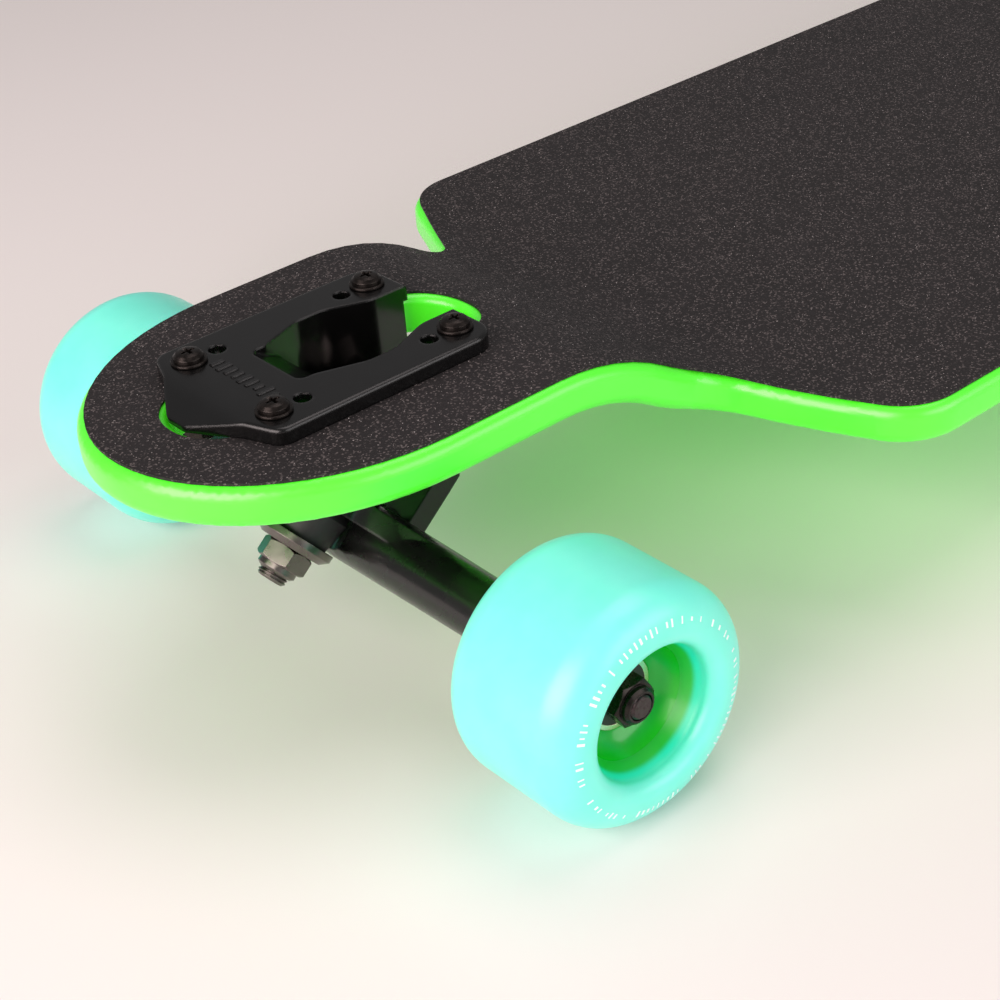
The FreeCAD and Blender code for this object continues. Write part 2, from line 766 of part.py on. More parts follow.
def make_kingpin():
    head = f"({SEAT}) + seat_wall + kingpin_boss"
    corner = "kingpin_flats / sqrt(3)"
    stub = f"-({ROAD}) - kingpin_nut_high - 2.6"
    shank = turned("kingpin_shank", [
        ("0", stub), ("kingpin_size / 2 - 0.8", stub),
        ("kingpin_size / 2", f"{stub} + 0.8"), ("kingpin_size / 2", head), ("0", head),
    ])
    head_blank = turned("kingpin_head_blank", [
        ("0", head), (corner, head), (corner, f"{head} + 5.2"),
        ("kingpin_flats * 0.47", f"{head} + 6.0"), ("0", f"{head} + 6.0"),
    ])
    return fused("kingpin_piece", [shank, hex_piece("kingpin_head", "kingpin_flats", head_blank)])


def make_steering():
    """Pieces on the kingpin and the turning axis, each in its own turned frame."""
    bore = "kingpin_size / 2 + 0.35"
    board_low = "ring_thick / 2"
    board_high = "ring_thick / 2 + bushing_board"
    road_high = "-ring_thick / 2"
    road_low = "-ring_thick / 2 - bushing_road"
    board_bushing = turned("board_bushing", [
        (bore, board_low), ("bushing_radius - 1", board_low),
        ("bushing_radius", f"{board_low} + 1"), ("bushing_radius", f"{board_high} - 1"),
        ("bushing_radius - 1", board_high), (bore, board_high),
    ])
    road_bushing = turned("road_bushing", [
        (bore, road_low), ("bushing_radius * 0.8", road_low),
        ("bushing_radius * 0.86", f"{road_low} + 1"), ("bushing_radius", f"{road_high} - 2.5"),
        ("bushing_radius - 1", road_high), (bore, road_high),
    ])
    board_cup = turned("board_cup_washer", tube_profile(
        "kingpin_size / 2", "cup_radius", board_high, SEAT))
    road_cup = turned("road_cup_washer", [
        ("kingpin_size / 2", f"-({ROAD})"), ("cup_radius - 2.4", f"-({ROAD})"),
        ("cup_radius", f"-({ROAD}) + 2.0"), ("cup_radius", f"{road_low} + 1.1"),
        ("cup_radius - 0.9", f"{road_low} + 1.1"), ("cup_radius - 2.6", road_low),
        ("kingpin_size / 2", road_low),
    ])
    nut_blank = turned("kingpin_nut_blank", nut_profile(
        "kingpin_flats", "kingpin_size / 2", ROAD, "kingpin_nut_high"))
    nut = hex_piece("kingpin_nut", "kingpin_flats", nut_blank)
    cup_bottom = f"horn_at + horn_long - {CUP_FLOOR}"
    running = "pivot_radius + pivot_gap"
    pivot_cup = turned("pivot_cup_piece", [
        ("0", f"{cup_bottom} - 1.0"), (f"{running} - 1.2", f"{cup_bottom} - 1.0"),
        (running, f"{cup_bottom} - 3.4"), (running, "horn_at - 0.4"),
        (f"{running} + pivot_cup_wall", "horn_at - 0.4"),
        (f"{running} + pivot_cup_wall", cup_bottom), ("0", cup_bottom),
    ])
    flipped = KINGPIN_FRAME.multiply(Placement(Vector(), Rotation(X_AXIS, 180)))
    return {
        "boardside_bushing": (board_bushing, [KINGPIN_FRAME]),
        "roadside_bushing": (road_bushing, [KINGPIN_FRAME]),
        "boardside_cup_washer": (board_cup, [KINGPIN_FRAME]),
        "roadside_cup_washer": (road_cup, [KINGPIN_FRAME]),
        "kingpin": (make_kingpin(), [KINGPIN_FRAME]),
        "kingpin_nut": (nut, [flipped]),
        "pivot_cup": (pivot_cup, [PIVOT_FRAME]),
    }


# ---------------------------------------------------------------------------------------------
# Mounting hardware
# ---------------------------------------------------------------------------------------------
DRIVE_DEPTH = 1.9
DRIVE_HALF_LONG = (1.1, 2.2)
DRIVE_HALF_WIDE = (0.4, 0.6)
DRIVE_CLEAR = 0.1


def make_mounting():
    head = "wheel_radius + plate_height + flange_thick + washer_thick"
    under_deck = "wheel_radius + plate_height - grip_thick - deck_thick"
    tip = f"{under_deck} - bolt_nut_high - 1.4"
    blank = turned("bolt_blank", [
        ("0", tip), ("bolt_size / 2 - 0.5", tip), ("bolt_size / 2", f"{tip} + 0.5"),
        ("bolt_size / 2", head), ("bolt_head / 2", head),
        ("bolt_head / 2", f"{head} + bolt_head_high * 0.45"),
        ("bolt_head / 2 - 0.9", f"{head} + bolt_head_high * 0.85"),
        ("bolt_head / 2 - 2.2", f"{head} + bolt_head_high"), ("0", f"{head} + bolt_head_high"),
    ])
    slots_cut = []
    for number, turn in enumerate((0, 90)):
        arm = doc.addObject("Part::Wedge", f"driver_arm_{number}")
        arm.Xmin, arm.Xmax = -DRIVE_HALF_LONG[0], DRIVE_HALF_LONG[0]
        arm.X2min, arm.X2max = -DRIVE_HALF_LONG[1], DRIVE_HALF_LONG[1]
        arm.Zmin, arm.Zmax = -DRIVE_HALF_WIDE[0], DRIVE_HALF_WIDE[0]
        arm.Z2min, arm.Z2max = -DRIVE_HALF_WIDE[1], DRIVE_HALF_WIDE[1]
        arm.Ymin, arm.Ymax = 0, DRIVE_DEPTH + DRIVE_CLEAR
        low = evaluate(head) + v.bolt_head_high - DRIVE_DEPTH
        arm.Placement = Placement(
            Vector(0, 0, low), Rotation(Z_AXIS, turn).multiply(Rotation(X_AXIS, 90)))
        slots_cut.append(arm)
    bolt = cut("bolt_piece", blank, slots_cut)
    washer = turned("bolt_washer_piece", tube_profile(
        "bolt_size / 2", "bolt_washer / 2", f"{head} - washer_thick", head, "0.25"))
    nut_blank = turned("bolt_nut_blank", nut_profile(
        "bolt_nut_flats", "bolt_size / 2", f"-({under_deck})", "bolt_nut_high"))
    nut = hex_piece("bolt_nut", "bolt_nut_flats", nut_blank)
    places = [at_height(0, x, y) for x, y in bolt_places()]
    upside = Placement(Vector(), Rotation(X_AXIS, 180))
    return {
        "mounting_bolts": (bolt, places),
        "mounting_washers": (washer, places),
        "mounting_nuts": (nut, [place.multiply(upside) for place in places]),
    }


# ---------------------------------------------------------------------------------------------
# Hanger and axle
# ---------------------------------------------------------------------------------------------
def make_hanger():
    """Beam round the axle, ring round the kingpin, gussets between them and the pivot pin."""
    beam_frame = KINGPIN_FRAME.multiply(Placement(
        Vector(v.axle_along, 0, -v.axle_rake), Rotation(X_AXIS, -90)))
    beam = cylinder("beam", "hanger_radius", "2 * hanger_half", beam_frame, "-hanger_half")
    shoulders = []
    for turn in (0, 180):
        cone = doc.addObject("Part::Cone", "beam_taper")
        bind(cone, Radius1="hanger_radius + 0.8", Radius2="hanger_radius", Height="0.68 * hanger_half")
        cone.Placement = beam_frame.multiply(Placement(Vector(), Rotation(X_AXIS, turn)))
        shoulders.append(cone)
    ring = cylinder("ring", "ring_radius", "ring_thick", KINGPIN_FRAME, "-ring_thick / 2")
    gusset = doc.addObject("Sketcher::SketchObject", "gusset_outline")
    draw_loop(gusset, rounded(mirrored([
        (-0.72 * v.ring_radius, 0.69 * v.ring_radius, 0),
        (0.25 * v.ring_radius, 1.13 * v.ring_radius, 18),
        (v.axle_along - 5, 0.42 * v.hanger_half, 0),
        (v.axle_along + 4, 0.42 * v.hanger_half, 0),
        (v.axle_along + 4, 0.3 * v.ring_radius, 0),
    ])))
    gusset.Placement = KINGPIN_FRAME
    plate = doc.addObject("Part::Extrusion", "gusset")
    plate.Base = gusset
    plate.DirMode = "Normal"
    plate.Solid = True
    plate.Symmetric = True
    bind(plate, LengthFwd="ring_thick")
    nose = doc.addObject("Part::Cone", "pivot_nose")
    bind(nose, Radius1="hanger_radius + 0.4", Radius2="pivot_radius", Height="horn_at - ring_radius + 1")
    nose.Placement = PIVOT_FRAME.multiply(at_height(v.ring_radius - 2))
    pin_end = "horn_at + horn_long - 3.8"
    pin = turned("pivot_pin", [
        ("0", "axle_along"), ("pivot_radius", "axle_along"),
        ("pivot_radius", f"{pin_end} - 2.4"), ("pivot_radius - 1.2", pin_end), ("0", pin_end),
    ])
    pin.Placement = PIVOT_FRAME
    blank = fused("hanger_blank", [beam, *shoulders, ring, plate, nose, pin])
    tools = [
        cylinder("axle_bore", "axle_size / 2", "2 * hanger_half + 2", beam_frame,
                 "-hanger_half - 1"),
        cylinder("ring_bore", "kingpin_size / 2 + 3", "4 * ring_thick", KINGPIN_FRAME,
                 "-2 * ring_thick"),
        cylinder("board_seat", "bushing_radius + 1.2", "30", KINGPIN_FRAME, "ring_thick / 2"),
        cylinder("road_seat", "bushing_radius + 1.2", "30", KINGPIN_FRAME, "-ring_thick / 2 - 30"),
    ]
    return cut("hanger_piece", blank, tools)


def make_axle_parts():
    end_edge = "0.8"
    axle = turned("axle_rod", [
        ("0", "-axle_half"), (f"axle_size / 2 - {end_edge}", "-axle_half"),
        ("axle_size / 2", f"-axle_half + {end_edge}"), ("axle_size / 2", f"axle_half - {end_edge}"),
        (f"axle_size / 2 - {end_edge}", "axle_half"), ("0", "axle_half"),
    ])
    start = "hanger_half + washer_thick"
    end = f"({start} + 2 * bearing_wide + spacer_long)"
    nut_blank = turned("axle_nut_blank", nut_profile(
        "axle_nut_flats", "axle_size / 2", f"{end} + washer_thick", "axle_nut_high"))
    washer_in = turned("washer_in", tube_profile(
        "axle_size / 2", "axle_size / 2 + 2.0", "hanger_half", start, "0.2"))
    washer_out = turned("washer_out", tube_profile(
        "axle_size / 2", "axle_size / 2 + 2.0", end, f"{end} + washer_thick", "0.2"))
    spacer = turned("spacer", tube_profile(
        "axle_size / 2", "spacer_radius", f"{start} + bearing_wide",
        f"{start} + bearing_wide + spacer_long", "0.3"))
    washers = doc.addObject("Part::Compound", "washer_pair")
    washers.Links = [washer_in, washer_out]
    sides = list(SIDES.values())
    return {
        "axle": (axle, [AXLE_FRAME]),
        "axle_nuts": (hex_piece("axle_nut", "axle_nut_flats", nut_blank), sides),
        "speed_washers": (washers, sides),
        "bearing_spacers": (spacer, sides),
        "bearing_inner_rings": (make_races("axle_size / 2", INNER_LAND, False), sides),
    }


def bearing_starts():
    """Inboard face of each bearing, as expressions measured from the middle of the truck."""
    start = "hanger_half + washer_thick"
    return [start, f"{start} + bearing_wide + spacer_long"]


def make_races(inner, outer, is_outer):
    """The inner or outer rings of both bearings of one wheel, with their ball grooves."""
    rings = []
    for number, start in enumerate(bearing_starts()):
        name = f"{'outer' if is_outer else 'inner'}_race_{number}"
        ring = turned(name, tube_profile(inner, outer, start, f"{start} + bearing_wide", "0.3"))
        groove = doc.addObject("Part::Torus", name + "_groove")
        bind(groove, Radius1=PITCH, Radius2="ball_radius + race_gap")
        groove.Placement = at_height(evaluate(f"{start} + bearing_wide / 2"))
        rings.append(cut(name + "_cut", ring, [groove]))
    pair = doc.addObject("Part::Compound", "outer_races" if is_outer else "inner_races")
    pair.Links = rings
    return pair


# ---------------------------------------------------------------------------------------------
# Wheels
# ---------------------------------------------------------------------------------------------
def make_wheel_parts():
    middle = "(hanger_half + washer_thick + bearing_wide + spacer_long / 2)"
    tyre_middle = f"({middle} + wheel_offset)"
    half = "wheel_wide / 2"
    core_half = "(bearing_wide + spacer_long / 2 + 2.6)"
    seat = "bearing_outer / 2"
    core = turned("core_piece", [
        (seat, f"{middle} - spacer_long / 2 - bearing_wide"),
        (seat, f"{middle} - spacer_long / 2"),
        (f"{seat} - 1.6", f"{middle} - spacer_long / 2"),
        (f"{seat} - 1.6", f"{middle} + spacer_long / 2"),
        (seat, f"{middle} + spacer_long / 2"),
        (seat, f"{middle} + spacer_long / 2 + bearing_wide"),
        ("core_rim", f"{tyre_middle} + {half} - recess_dip - 5.4"),
        ("core_rim + 0.4", f"{tyre_middle} + {half} - recess_dip - 6.6"),
        ("core_radius", f"{middle} + {core_half} - 4"),
        ("core_radius", f"{middle} - {core_half} + 4"),
        ("core_radius - 1", f"{middle} - {core_half}"),
        (f"{seat} + 1.2", f"{middle} - {core_half}"),
    ])
    tyre = make_tyre(middle, tyre_middle, half, core_half)
    shields = []
    balls = []
    for number, start in enumerate(bearing_starts()):
        for low, high in (("0.25", "0.65"), ("bearing_wide - 0.65", "bearing_wide - 0.25")):
            shields.append(turned(f"shield_{number}", [
                (SHIELD_BORE, f"{start} + {low}"), (OUTER_LAND, f"{start} + {low}"),
                (OUTER_LAND, f"{start} + {high}"), (SHIELD_BORE, f"{start} + {high}"),
            ]))
        ball = doc.addObject("Part::Sphere", f"ball_{number}")
        bind(ball, Radius="ball_radius")
        doc.recompute()
        height = evaluate(f"{start} + bearing_wide / 2")
        ring = [
            Placement(Vector(), Rotation(Z_AXIS, 360 * step / BALLS)).multiply(
                at_height(height, evaluate(PITCH)))
            for step in range(BALLS)
        ]
        balls.append(group(f"ball_ring_{number}", ball, ring))
    shield_set = doc.addObject("Part::Compound", "shield_set")
    shield_set.Links = shields
    ball_set = doc.addObject("Part::Compound", "ball_set")
    ball_set.Links = balls
    return {
        "tyre": tyre,
        "core": core,
        "bearing_outer_rings": make_races(OUTER_LAND, "bearing_outer / 2", True),
        "bearing_shields": shield_set,
        "bearing_balls": ball_set,
    }


def make_tyre(middle, tyre_middle, half, core_half):
    """The urethane tyre: flat tread, large round lips and a dished hub recess on each face."""
    low = f"{tyre_middle} - {half}"
    high = f"{tyre_middle} + {half}"
    core_low = f"{middle} - {core_half}"
    profile = [
        ("wheel_radius", low), ("wheel_radius", high),
        ("recess_radius + 2.4", high), ("recess_radius", f"{high} - recess_dip"),
        ("core_rim", f"{high} - recess_dip - 5.4"),
        ("core_rim + 0.4", f"{high} - recess_dip - 6.6"),
        ("core_radius", f"{middle} + {core_half} - 4"),
        ("core_radius", f"{middle} - {core_half} + 4"),
        ("core_radius - 1", core_low), ("bearing_outer / 2 + 1.2", core_low),
        ("recess_radius - 1.5", f"{low} + recess_dip"),
        ("recess_radius + 2.4", low),
    ]
    body = turned("tyre_piece", profile)
    lips = doc.addObject("Part::Fillet", "tyre_lips")
    lips.Base = body
    tread = [
        number for number, edge in enumerate(body.Shape.Edges, start=1)
        if isinstance(edge.Curve, Part.Circle) and abs(edge.Curve.Radius - v.wheel_radius) < 1e-6
    ]
    face_edges = [
        number for number, edge in enumerate(body.Shape.Edges, start=1)
        if isinstance(edge.Curve, Part.Circle)
        and abs(edge.Curve.Radius - v.recess_radius - 2.4) < 1e-6
    ]
    lips.Edges = (
        [(number, v.wheel_lip, v.wheel_lip) for number in tread]
        + [(number, 1.6, 1.6) for number in face_edges]
    )
    doc.recompute()
    return lips


# ---------------------------------------------------------------------------------------------
# The whole board
# ---------------------------------------------------------------------------------------------
make_deck()
make_grip()
truck_pieces = {"baseplate": (make_baseplate(), [Placement()]), "hanger": (make_hanger(), [Placement()])}
truck_pieces.update(make_steering())
truck_pieces.update(make_mounting())
truck_pieces.update(make_axle_parts())
wheel_pieces = make_wheel_parts()
doc.recompute()

for end, end_frame in ENDS.items():
    for name, (master, places) in truck_pieces.items():
        piece = group(f"{end}_{name}_piece", master, places)
        finish(piece, f"{end}_{name}", end_frame)
    for side, side_frame in SIDES.items():
        for name, master in wheel_pieces.items():
            piece = group(f"{end}_{side}_{name}_piece", master, [side_frame])
            finish(piece, f"{end}_{side}_{name}", end_frame)

doc.recompute()
for item in doc.Objects:
    if "Invalid" in item.State or "Error" in item.State:
        raise RuntimeError(f"{item.Name} failed: {item.State}")
for node in nodes:
    if node.Shape.isNull() or not node.Shape.isValid() or not node.Shape.Solids:
        raise RuntimeError(f"{node.Label} has no valid shape")

os.makedirs("parts", exist_ok=True)
for node in nodes:
    node.Shape.exportStep(f"parts/{node.Label}.step")
print(len(nodes), "nodes written")
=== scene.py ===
"""Looks of the drop-through longboard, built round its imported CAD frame.

Everything is in metres in the CAD frame: +X from the nose (-X) to the tail, +Z up, and the
origin on the ground under the middle of the board.  A size times MM is in metres; the wheel
sections are drawn in millimetres and turned into metres when they are spun.
"""

import json
import math

import bmesh
import bpy
from mathutils import Matrix, Vector

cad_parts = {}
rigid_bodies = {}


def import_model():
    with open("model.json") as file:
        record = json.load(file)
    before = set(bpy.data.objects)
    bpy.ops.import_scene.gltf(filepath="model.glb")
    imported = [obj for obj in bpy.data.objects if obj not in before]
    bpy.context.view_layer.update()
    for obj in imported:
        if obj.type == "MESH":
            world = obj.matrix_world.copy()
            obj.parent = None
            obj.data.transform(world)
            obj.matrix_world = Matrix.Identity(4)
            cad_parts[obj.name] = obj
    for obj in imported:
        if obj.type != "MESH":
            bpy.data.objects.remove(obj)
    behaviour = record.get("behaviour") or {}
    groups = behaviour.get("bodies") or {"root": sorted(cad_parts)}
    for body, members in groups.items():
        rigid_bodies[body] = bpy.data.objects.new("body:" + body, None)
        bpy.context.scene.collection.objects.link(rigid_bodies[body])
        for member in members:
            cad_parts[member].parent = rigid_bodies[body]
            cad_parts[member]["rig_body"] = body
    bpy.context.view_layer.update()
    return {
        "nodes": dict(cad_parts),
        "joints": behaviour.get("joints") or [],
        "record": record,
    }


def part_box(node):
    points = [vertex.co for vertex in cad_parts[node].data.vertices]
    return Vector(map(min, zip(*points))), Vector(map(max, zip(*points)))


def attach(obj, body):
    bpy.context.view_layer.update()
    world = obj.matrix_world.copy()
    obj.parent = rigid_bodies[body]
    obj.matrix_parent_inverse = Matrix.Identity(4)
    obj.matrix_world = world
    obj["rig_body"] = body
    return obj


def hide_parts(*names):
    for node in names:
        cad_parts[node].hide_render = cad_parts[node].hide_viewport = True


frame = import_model()

MM = 0.001
ENDS = ("nose", "tail")
SIDES = ("left", "right")

# ---------------------------------------------------------------------------------------------
# Sizes
# ---------------------------------------------------------------------------------------------
# The truck's turning axis stands at 50 degrees; the kingpin is square to it.
TRUCK_ANGLE = math.radians(50)
THREAD_PITCH = 1.06 * MM
AXLE_RADIUS = 3.97 * MM
AXLE_THREAD_LONG = 12.0 * MM
KINGPIN_RADIUS = 4.75 * MM
# Along the kingpin, down from the middle of the hanger ring, in millimetres: half the ring, the
# roadside bushing and its cup washer, then the nut and the stub that stands out of it.
RING_HALF = 3.5
ROADSIDE_BUSHING_HIGH = 13.0
ROADSIDE_CUP_HIGH = 3.0
NUT_HIGH = 8.6
STUB_LONG = 2.6
NUT_SEAT = (RING_HALF + ROADSIDE_BUSHING_HIGH + ROADSIDE_CUP_HIGH) * MM
NUT_AND_STUB = (NUT_HIGH + STUB_LONG) * MM
# The thread starts this far inside the nut.
INSIDE_NUT = 3.0 * MM
# A rolled thread: its depth as a share of its pitch, and how steeply its groove closes.
THREAD_DEPTH = 0.54 * THREAD_PITCH
GROOVE_STEEPNESS = 2.4
THREAD_ROWS_PER_TURN = 6
THREAD_CHAMFER = 0.9 * MM
# Wheel sections in millimetres.  Dips are measured inwards from the tyre's outboard face.
TYRE_LIP = 11.0
RECESS_RADIUS = 20.0
RECESS_DIP = 4.6
CORE_RIM = 16.8
CORE_RIM_DIP = 10.0
CORE_RADIUS = 15.0
BEARING_RADIUS = 11.0
BEARING_WIDE = 7.0
SPACER_LONG = 10.0
# The tyre's middle lies this far outboard of the bearings' middle.
TYRE_OFFSET = 3.2
CORE_PAST_BEARING = 2.6
# The urethane from the recess's edge down to the core, as steps (inwards, deeper).
RECESS_WALL = ((0.5, 0.9), (1.7, 2.9))
# Where the core's rim turns under the urethane, as (outwards, deeper).
RIM_TUCK = (0.4, 1.2)
# The core's dish, from the bearing's seat to the rim, as steps (outwards, outboard).
CORE_DISH = ((0.3, 0.15), (1.8, 0.75), (3.2, 2.0), (4.6, 3.7))
BEARING_LIP = 1.2
BEARING_STOP = 1.6
TYRE_STEPS = 160
CORE_STEPS = 96
# Grit crystals per square metre, their radius, and how upright a face is that carries them.
GRIT_DENSITY = 60000.0
GRIT_RADIUS = 0.22 * MM
GRIT_FACE_UP = 0.8
FULL_TURN = 6.28
# Printed bars on the outboard lip of each tyre.
MARK_COUNT = 96
MARK_RADIUS = 28.2 * MM
MARK_BAR = (2.4 * MM, 0.5 * MM, 0.12 * MM)
MARK_SHARE = 0.72
# Cast bars on each base plate: where the row starts, from the middle of the bolt pattern.
RIB_COUNT = 9
RIB_SPACING = 3.4 * MM
RIB_BAR = (5.6 * MM, 1.5 * MM, 0.6 * MM)
RIB_OUTBOARD = 27.0 * MM
RIB_ROW_START = -13.6 * MM
# One fixed seed for each random draw.
GRIT_SEED, GRIT_TURN_SEED = 4, 11
MARK_SEED, MARK_SCALE_SEED = 3, 8
RIB_SEED = 5


def tyre_box(end, side):
    """Middle, radius and half width of a tyre, and which way is outboard."""
    low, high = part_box(f"{end}_{side}_tyre")
    middle = (low + high) / 2
    outboard = math.copysign(1.0, middle.y)
    return middle, (high.z - low.z) / 2, (high.y - low.y) / 2, outboard


# ---------------------------------------------------------------------------------------------
# Nodes and materials
# ---------------------------------------------------------------------------------------------
def linear(colour):
    """Linear RGBA of an sRGB hex colour."""
    parts = [int(colour[start:start + 2], 16) / 255 for start in (1, 3, 5)]
    flat = [c / 12.92 if c <= 0.04045 else ((c + 0.055) / 1.055) ** 2.4 for c in parts]
    return (*flat, 1.0)


def add(tree, kind, inputs=None, **settings):
    """Add a node with its settings; an input takes a value or another node's output."""
    item = tree.nodes.new(kind)
    for name, value in settings.items():
        setattr(item, name, value)
    for key, value in (inputs or {}).items():
        if isinstance(value, bpy.types.NodeSocket):
            tree.links.new(value, item.inputs[key])
        else:
            item.inputs[key].default_value = value
    return item


def new_material(name, sockets):
    """A material, its tree and its shader, with the shader's sockets set."""
    item = bpy.data.materials.new(name)
    item.use_nodes = True
    shader = item.node_tree.nodes["Principled BSDF"]
    for key, value in sockets.items():
        shader.inputs[key].default_value = value
    return item, item.node_tree, shader


def blend(tree, share, first, second):
    """Colour between two others by a share from 0 to 1."""
    mix = add(tree, "ShaderNodeMix", {0: share, 6: first, 7: second}, data_type="RGBA")
    return mix.outputs[2]


def lacquered_maple():
    # Fluorescent green lacquer over maple under a clear gloss coat; the small emission is a
    # painted glow that lifts its green.
    item, tree, shader = new_material("fluorescent_lacquer_on_maple", {
        "Roughness": 0.42, "Coat Weight": 1.0, "Coat Roughness": 0.30, "IOR": 1.5,
        "Emission Color": linear("#46ff14"), "Emission Strength": 0.15,
        "Subsurface Weight": 0.12, "Subsurface Radius": (0.6, 1.0, 0.5),
        "Subsurface Scale": 1.5 * MM,
    })
    place = add(tree, "ShaderNodeTexCoord").outputs["Object"]
    stretched = add(tree, "ShaderNodeMapping", {"Vector": place, "Scale": (0.12, 1.0, 1.0)})
    cloudy = add(tree, "ShaderNodeTexNoise", {
        "Vector": stretched.outputs["Vector"], "Scale": 1 / (14 * MM), "Detail": 4.0})
    tone = blend(tree, cloudy.outputs["Fac"], linear("#46ee1a"), linear("#5af834"))
    tree.links.new(tone, shader.inputs["Base Color"])
    peel = add(tree, "ShaderNodeTexNoise", {
        "Vector": place, "Scale": 1 / (1.6 * MM), "Detail": 2.0})
    bump = add(tree, "ShaderNodeBump", {
        "Height": peel.outputs["Fac"], "Strength": 0.12, "Distance": 0.1 * MM})
    tree.links.new(bump.outputs["Normal"], shader.inputs["Normal"])
    return item


def grit_sheet():
    # Silicon carbide grit glued to a cloth sheet: matt black, with a share of its grain cells
    # painted lighter grey as a painted glint of facets that catch light.
    item, tree, shader = new_material("silicon_carbide_grit", {"Specular IOR Level": 0.35})
    place = add(tree, "ShaderNodeTexCoord").outputs["Object"]
    # Real grit is near 0.25 mm; the cells are drawn at 0.5 mm so that they still show.
    grains = add(tree, "ShaderNodeTexVoronoi", {"Vector": place, "Scale": 1 / (0.5 * MM)})
    channels = add(tree, "ShaderNodeSeparateColor", {"Color": grains.outputs["Color"]})
    # Painted glints: the brightest fifth of the grain cells turn light grey.
    painted_glint_cells = add(tree, "ShaderNodeMapRange", {
        "Value": channels.outputs["Red"], "From Min": 0.80, "From Max": 1.0}).outputs["Result"]
    patches = add(tree, "ShaderNodeTexNoise", {
        "Vector": place, "Scale": 1 / (22 * MM), "Detail": 3.0})
    ground = blend(tree, patches.outputs["Fac"], linear("#161414"), linear("#231f20"))
    tone = blend(tree, painted_glint_cells, ground, linear("#5e5756"))
    tree.links.new(tone, shader.inputs["Base Color"])
    rough = add(tree, "ShaderNodeMapRange", {
        "Value": channels.outputs["Green"], "To Min": 0.42, "To Max": 0.85})
    tree.links.new(rough.outputs["Result"], shader.inputs["Roughness"])
    bump = add(tree, "ShaderNodeBump", {
        "Height": channels.outputs["Blue"], "Strength": 0.75, "Distance": 0.22 * MM})
    tree.links.new(bump.outputs["Normal"], shader.inputs["Normal"])
    return item


def crystal():
    # Loose grit crystals that stand proud of the sheet: dark, glassy and sharp edged.
    item, tree, shader = new_material("proud_grit_crystals", {
        "IOR": 1.6, "Coat Weight": 0.3, "Coat Roughness": 0.1})
    place = add(tree, "ShaderNodeTexCoord").outputs["Object"]
    spread = add(tree, "ShaderNodeTexWhiteNoise", {"Vector": place})
    rough = add(tree, "ShaderNodeMapRange", {
        "Value": spread.outputs["Value"], "To Min": 0.12, "To Max": 0.4})
    tree.links.new(rough.outputs["Result"], shader.inputs["Roughness"])
    cloud = add(tree, "ShaderNodeTexNoise", {"Vector": place, "Scale": 1 / (1.1 * MM)})
    tone = blend(tree, cloud.outputs["Fac"], linear("#262324"), linear("#8f8886"))
    tree.links.new(tone, shader.inputs["Base Color"])
    return item


def coated_casting(name, dark, light, rough_low, rough_high, coat):
    """Black coat on cast aluminium: orange peel, a dusting of wear and softened edges."""
    item, tree, shader = new_material(name, {
        "Coat Weight": coat, "Coat Roughness": 0.14, "IOR": 1.42})
    place = add(tree, "ShaderNodeTexCoord").outputs["Object"]
    cloudy = add(tree, "ShaderNodeTexNoise", {
        "Vector": place, "Scale": 1 / (9 * MM), "Detail": 4.0})
    tone = blend(tree, cloudy.outputs["Fac"], linear(dark), linear(light))
    tree.links.new(tone, shader.inputs["Base Color"])
    rough = add(tree, "ShaderNodeMapRange", {
        "Value": cloudy.outputs["Fac"], "From Min": 0.3, "From Max": 0.7,
        "To Min": rough_low, "To Max": rough_high})
    tree.links.new(rough.outputs["Result"], shader.inputs["Roughness"])
    peel = add(tree, "ShaderNodeTexNoise", {
        "Vector": place, "Scale": 1 / (0.7 * MM), "Detail": 2.0})
    edge = add(tree, "ShaderNodeBevel", {"Radius": 1.2 * MM}, samples=6)
    bump = add(tree, "ShaderNodeBump", {
        "Height": peel.outputs["Fac"], "Strength": 0.10, "Distance": 0.06 * MM,
        "Normal": edge.outputs["Normal"]})
    tree.links.new(bump.outputs["Normal"], shader.inputs["Normal"])
    return item


def turned_steel(name, dark, light, rough, grain, metallic=1.0):
    """Plated or oxidised steel with fine tool marks and softened edges."""
    item, tree, shader = new_material(name, {"Metallic": metallic})
    place = add(tree, "ShaderNodeTexCoord").outputs["Object"]
    marks = add(tree, "ShaderNodeTexNoise", {
        "Vector": place, "Scale": 1 / (grain * MM), "Detail": 5.0})
    tone = blend(tree, marks.outputs["Fac"], linear(dark), linear(light))
    tree.links.new(tone, shader.inputs["Base Color"])
    spread = add(tree, "ShaderNodeMapRange", {
        "Value": marks.outputs["Fac"], "From Min": 0.3, "From Max": 0.7,
        "To Min": rough * 0.75, "To Max": rough * 1.3})
    tree.links.new(spread.outputs["Result"], shader.inputs["Roughness"])
    edge = add(tree, "ShaderNodeBevel", {"Radius": 0.3 * MM}, samples=4)
    bump = add(tree, "ShaderNodeBump", {
        "Height": marks.outputs["Fac"], "Strength": 0.15, "Distance": 0.04 * MM,
        "Normal": edge.outputs["Normal"]})
    tree.links.new(bump.outputs["Normal"], shader.inputs["Normal"])
    return item


def axle_distance(tree, place, middle):
    """Distance from the wheels' turning axis, in metres, the same for the nose and the tail."""
    axes = add(tree, "ShaderNodeSeparateXYZ", {"Vector": place})
    along = add(tree, "ShaderNodeMath", {0: axes.outputs["X"]}, operation="ABSOLUTE")
    across = add(tree, "ShaderNodeMath", {
        0: along.outputs[0], 1: abs(middle.x)}, operation="SUBTRACT")
    height = add(tree, "ShaderNodeMath", {0: axes.outputs["Z"], 1: middle.z}, operation="SUBTRACT")
    flat = add(tree, "ShaderNodeCombineXYZ", {"X": across.outputs[0], "Y": height.outputs[0]})
    length = add(tree, "ShaderNodeVectorMath", {0: flat.outputs[0]}, operation="LENGTH")
    return length.outputs["Value"]


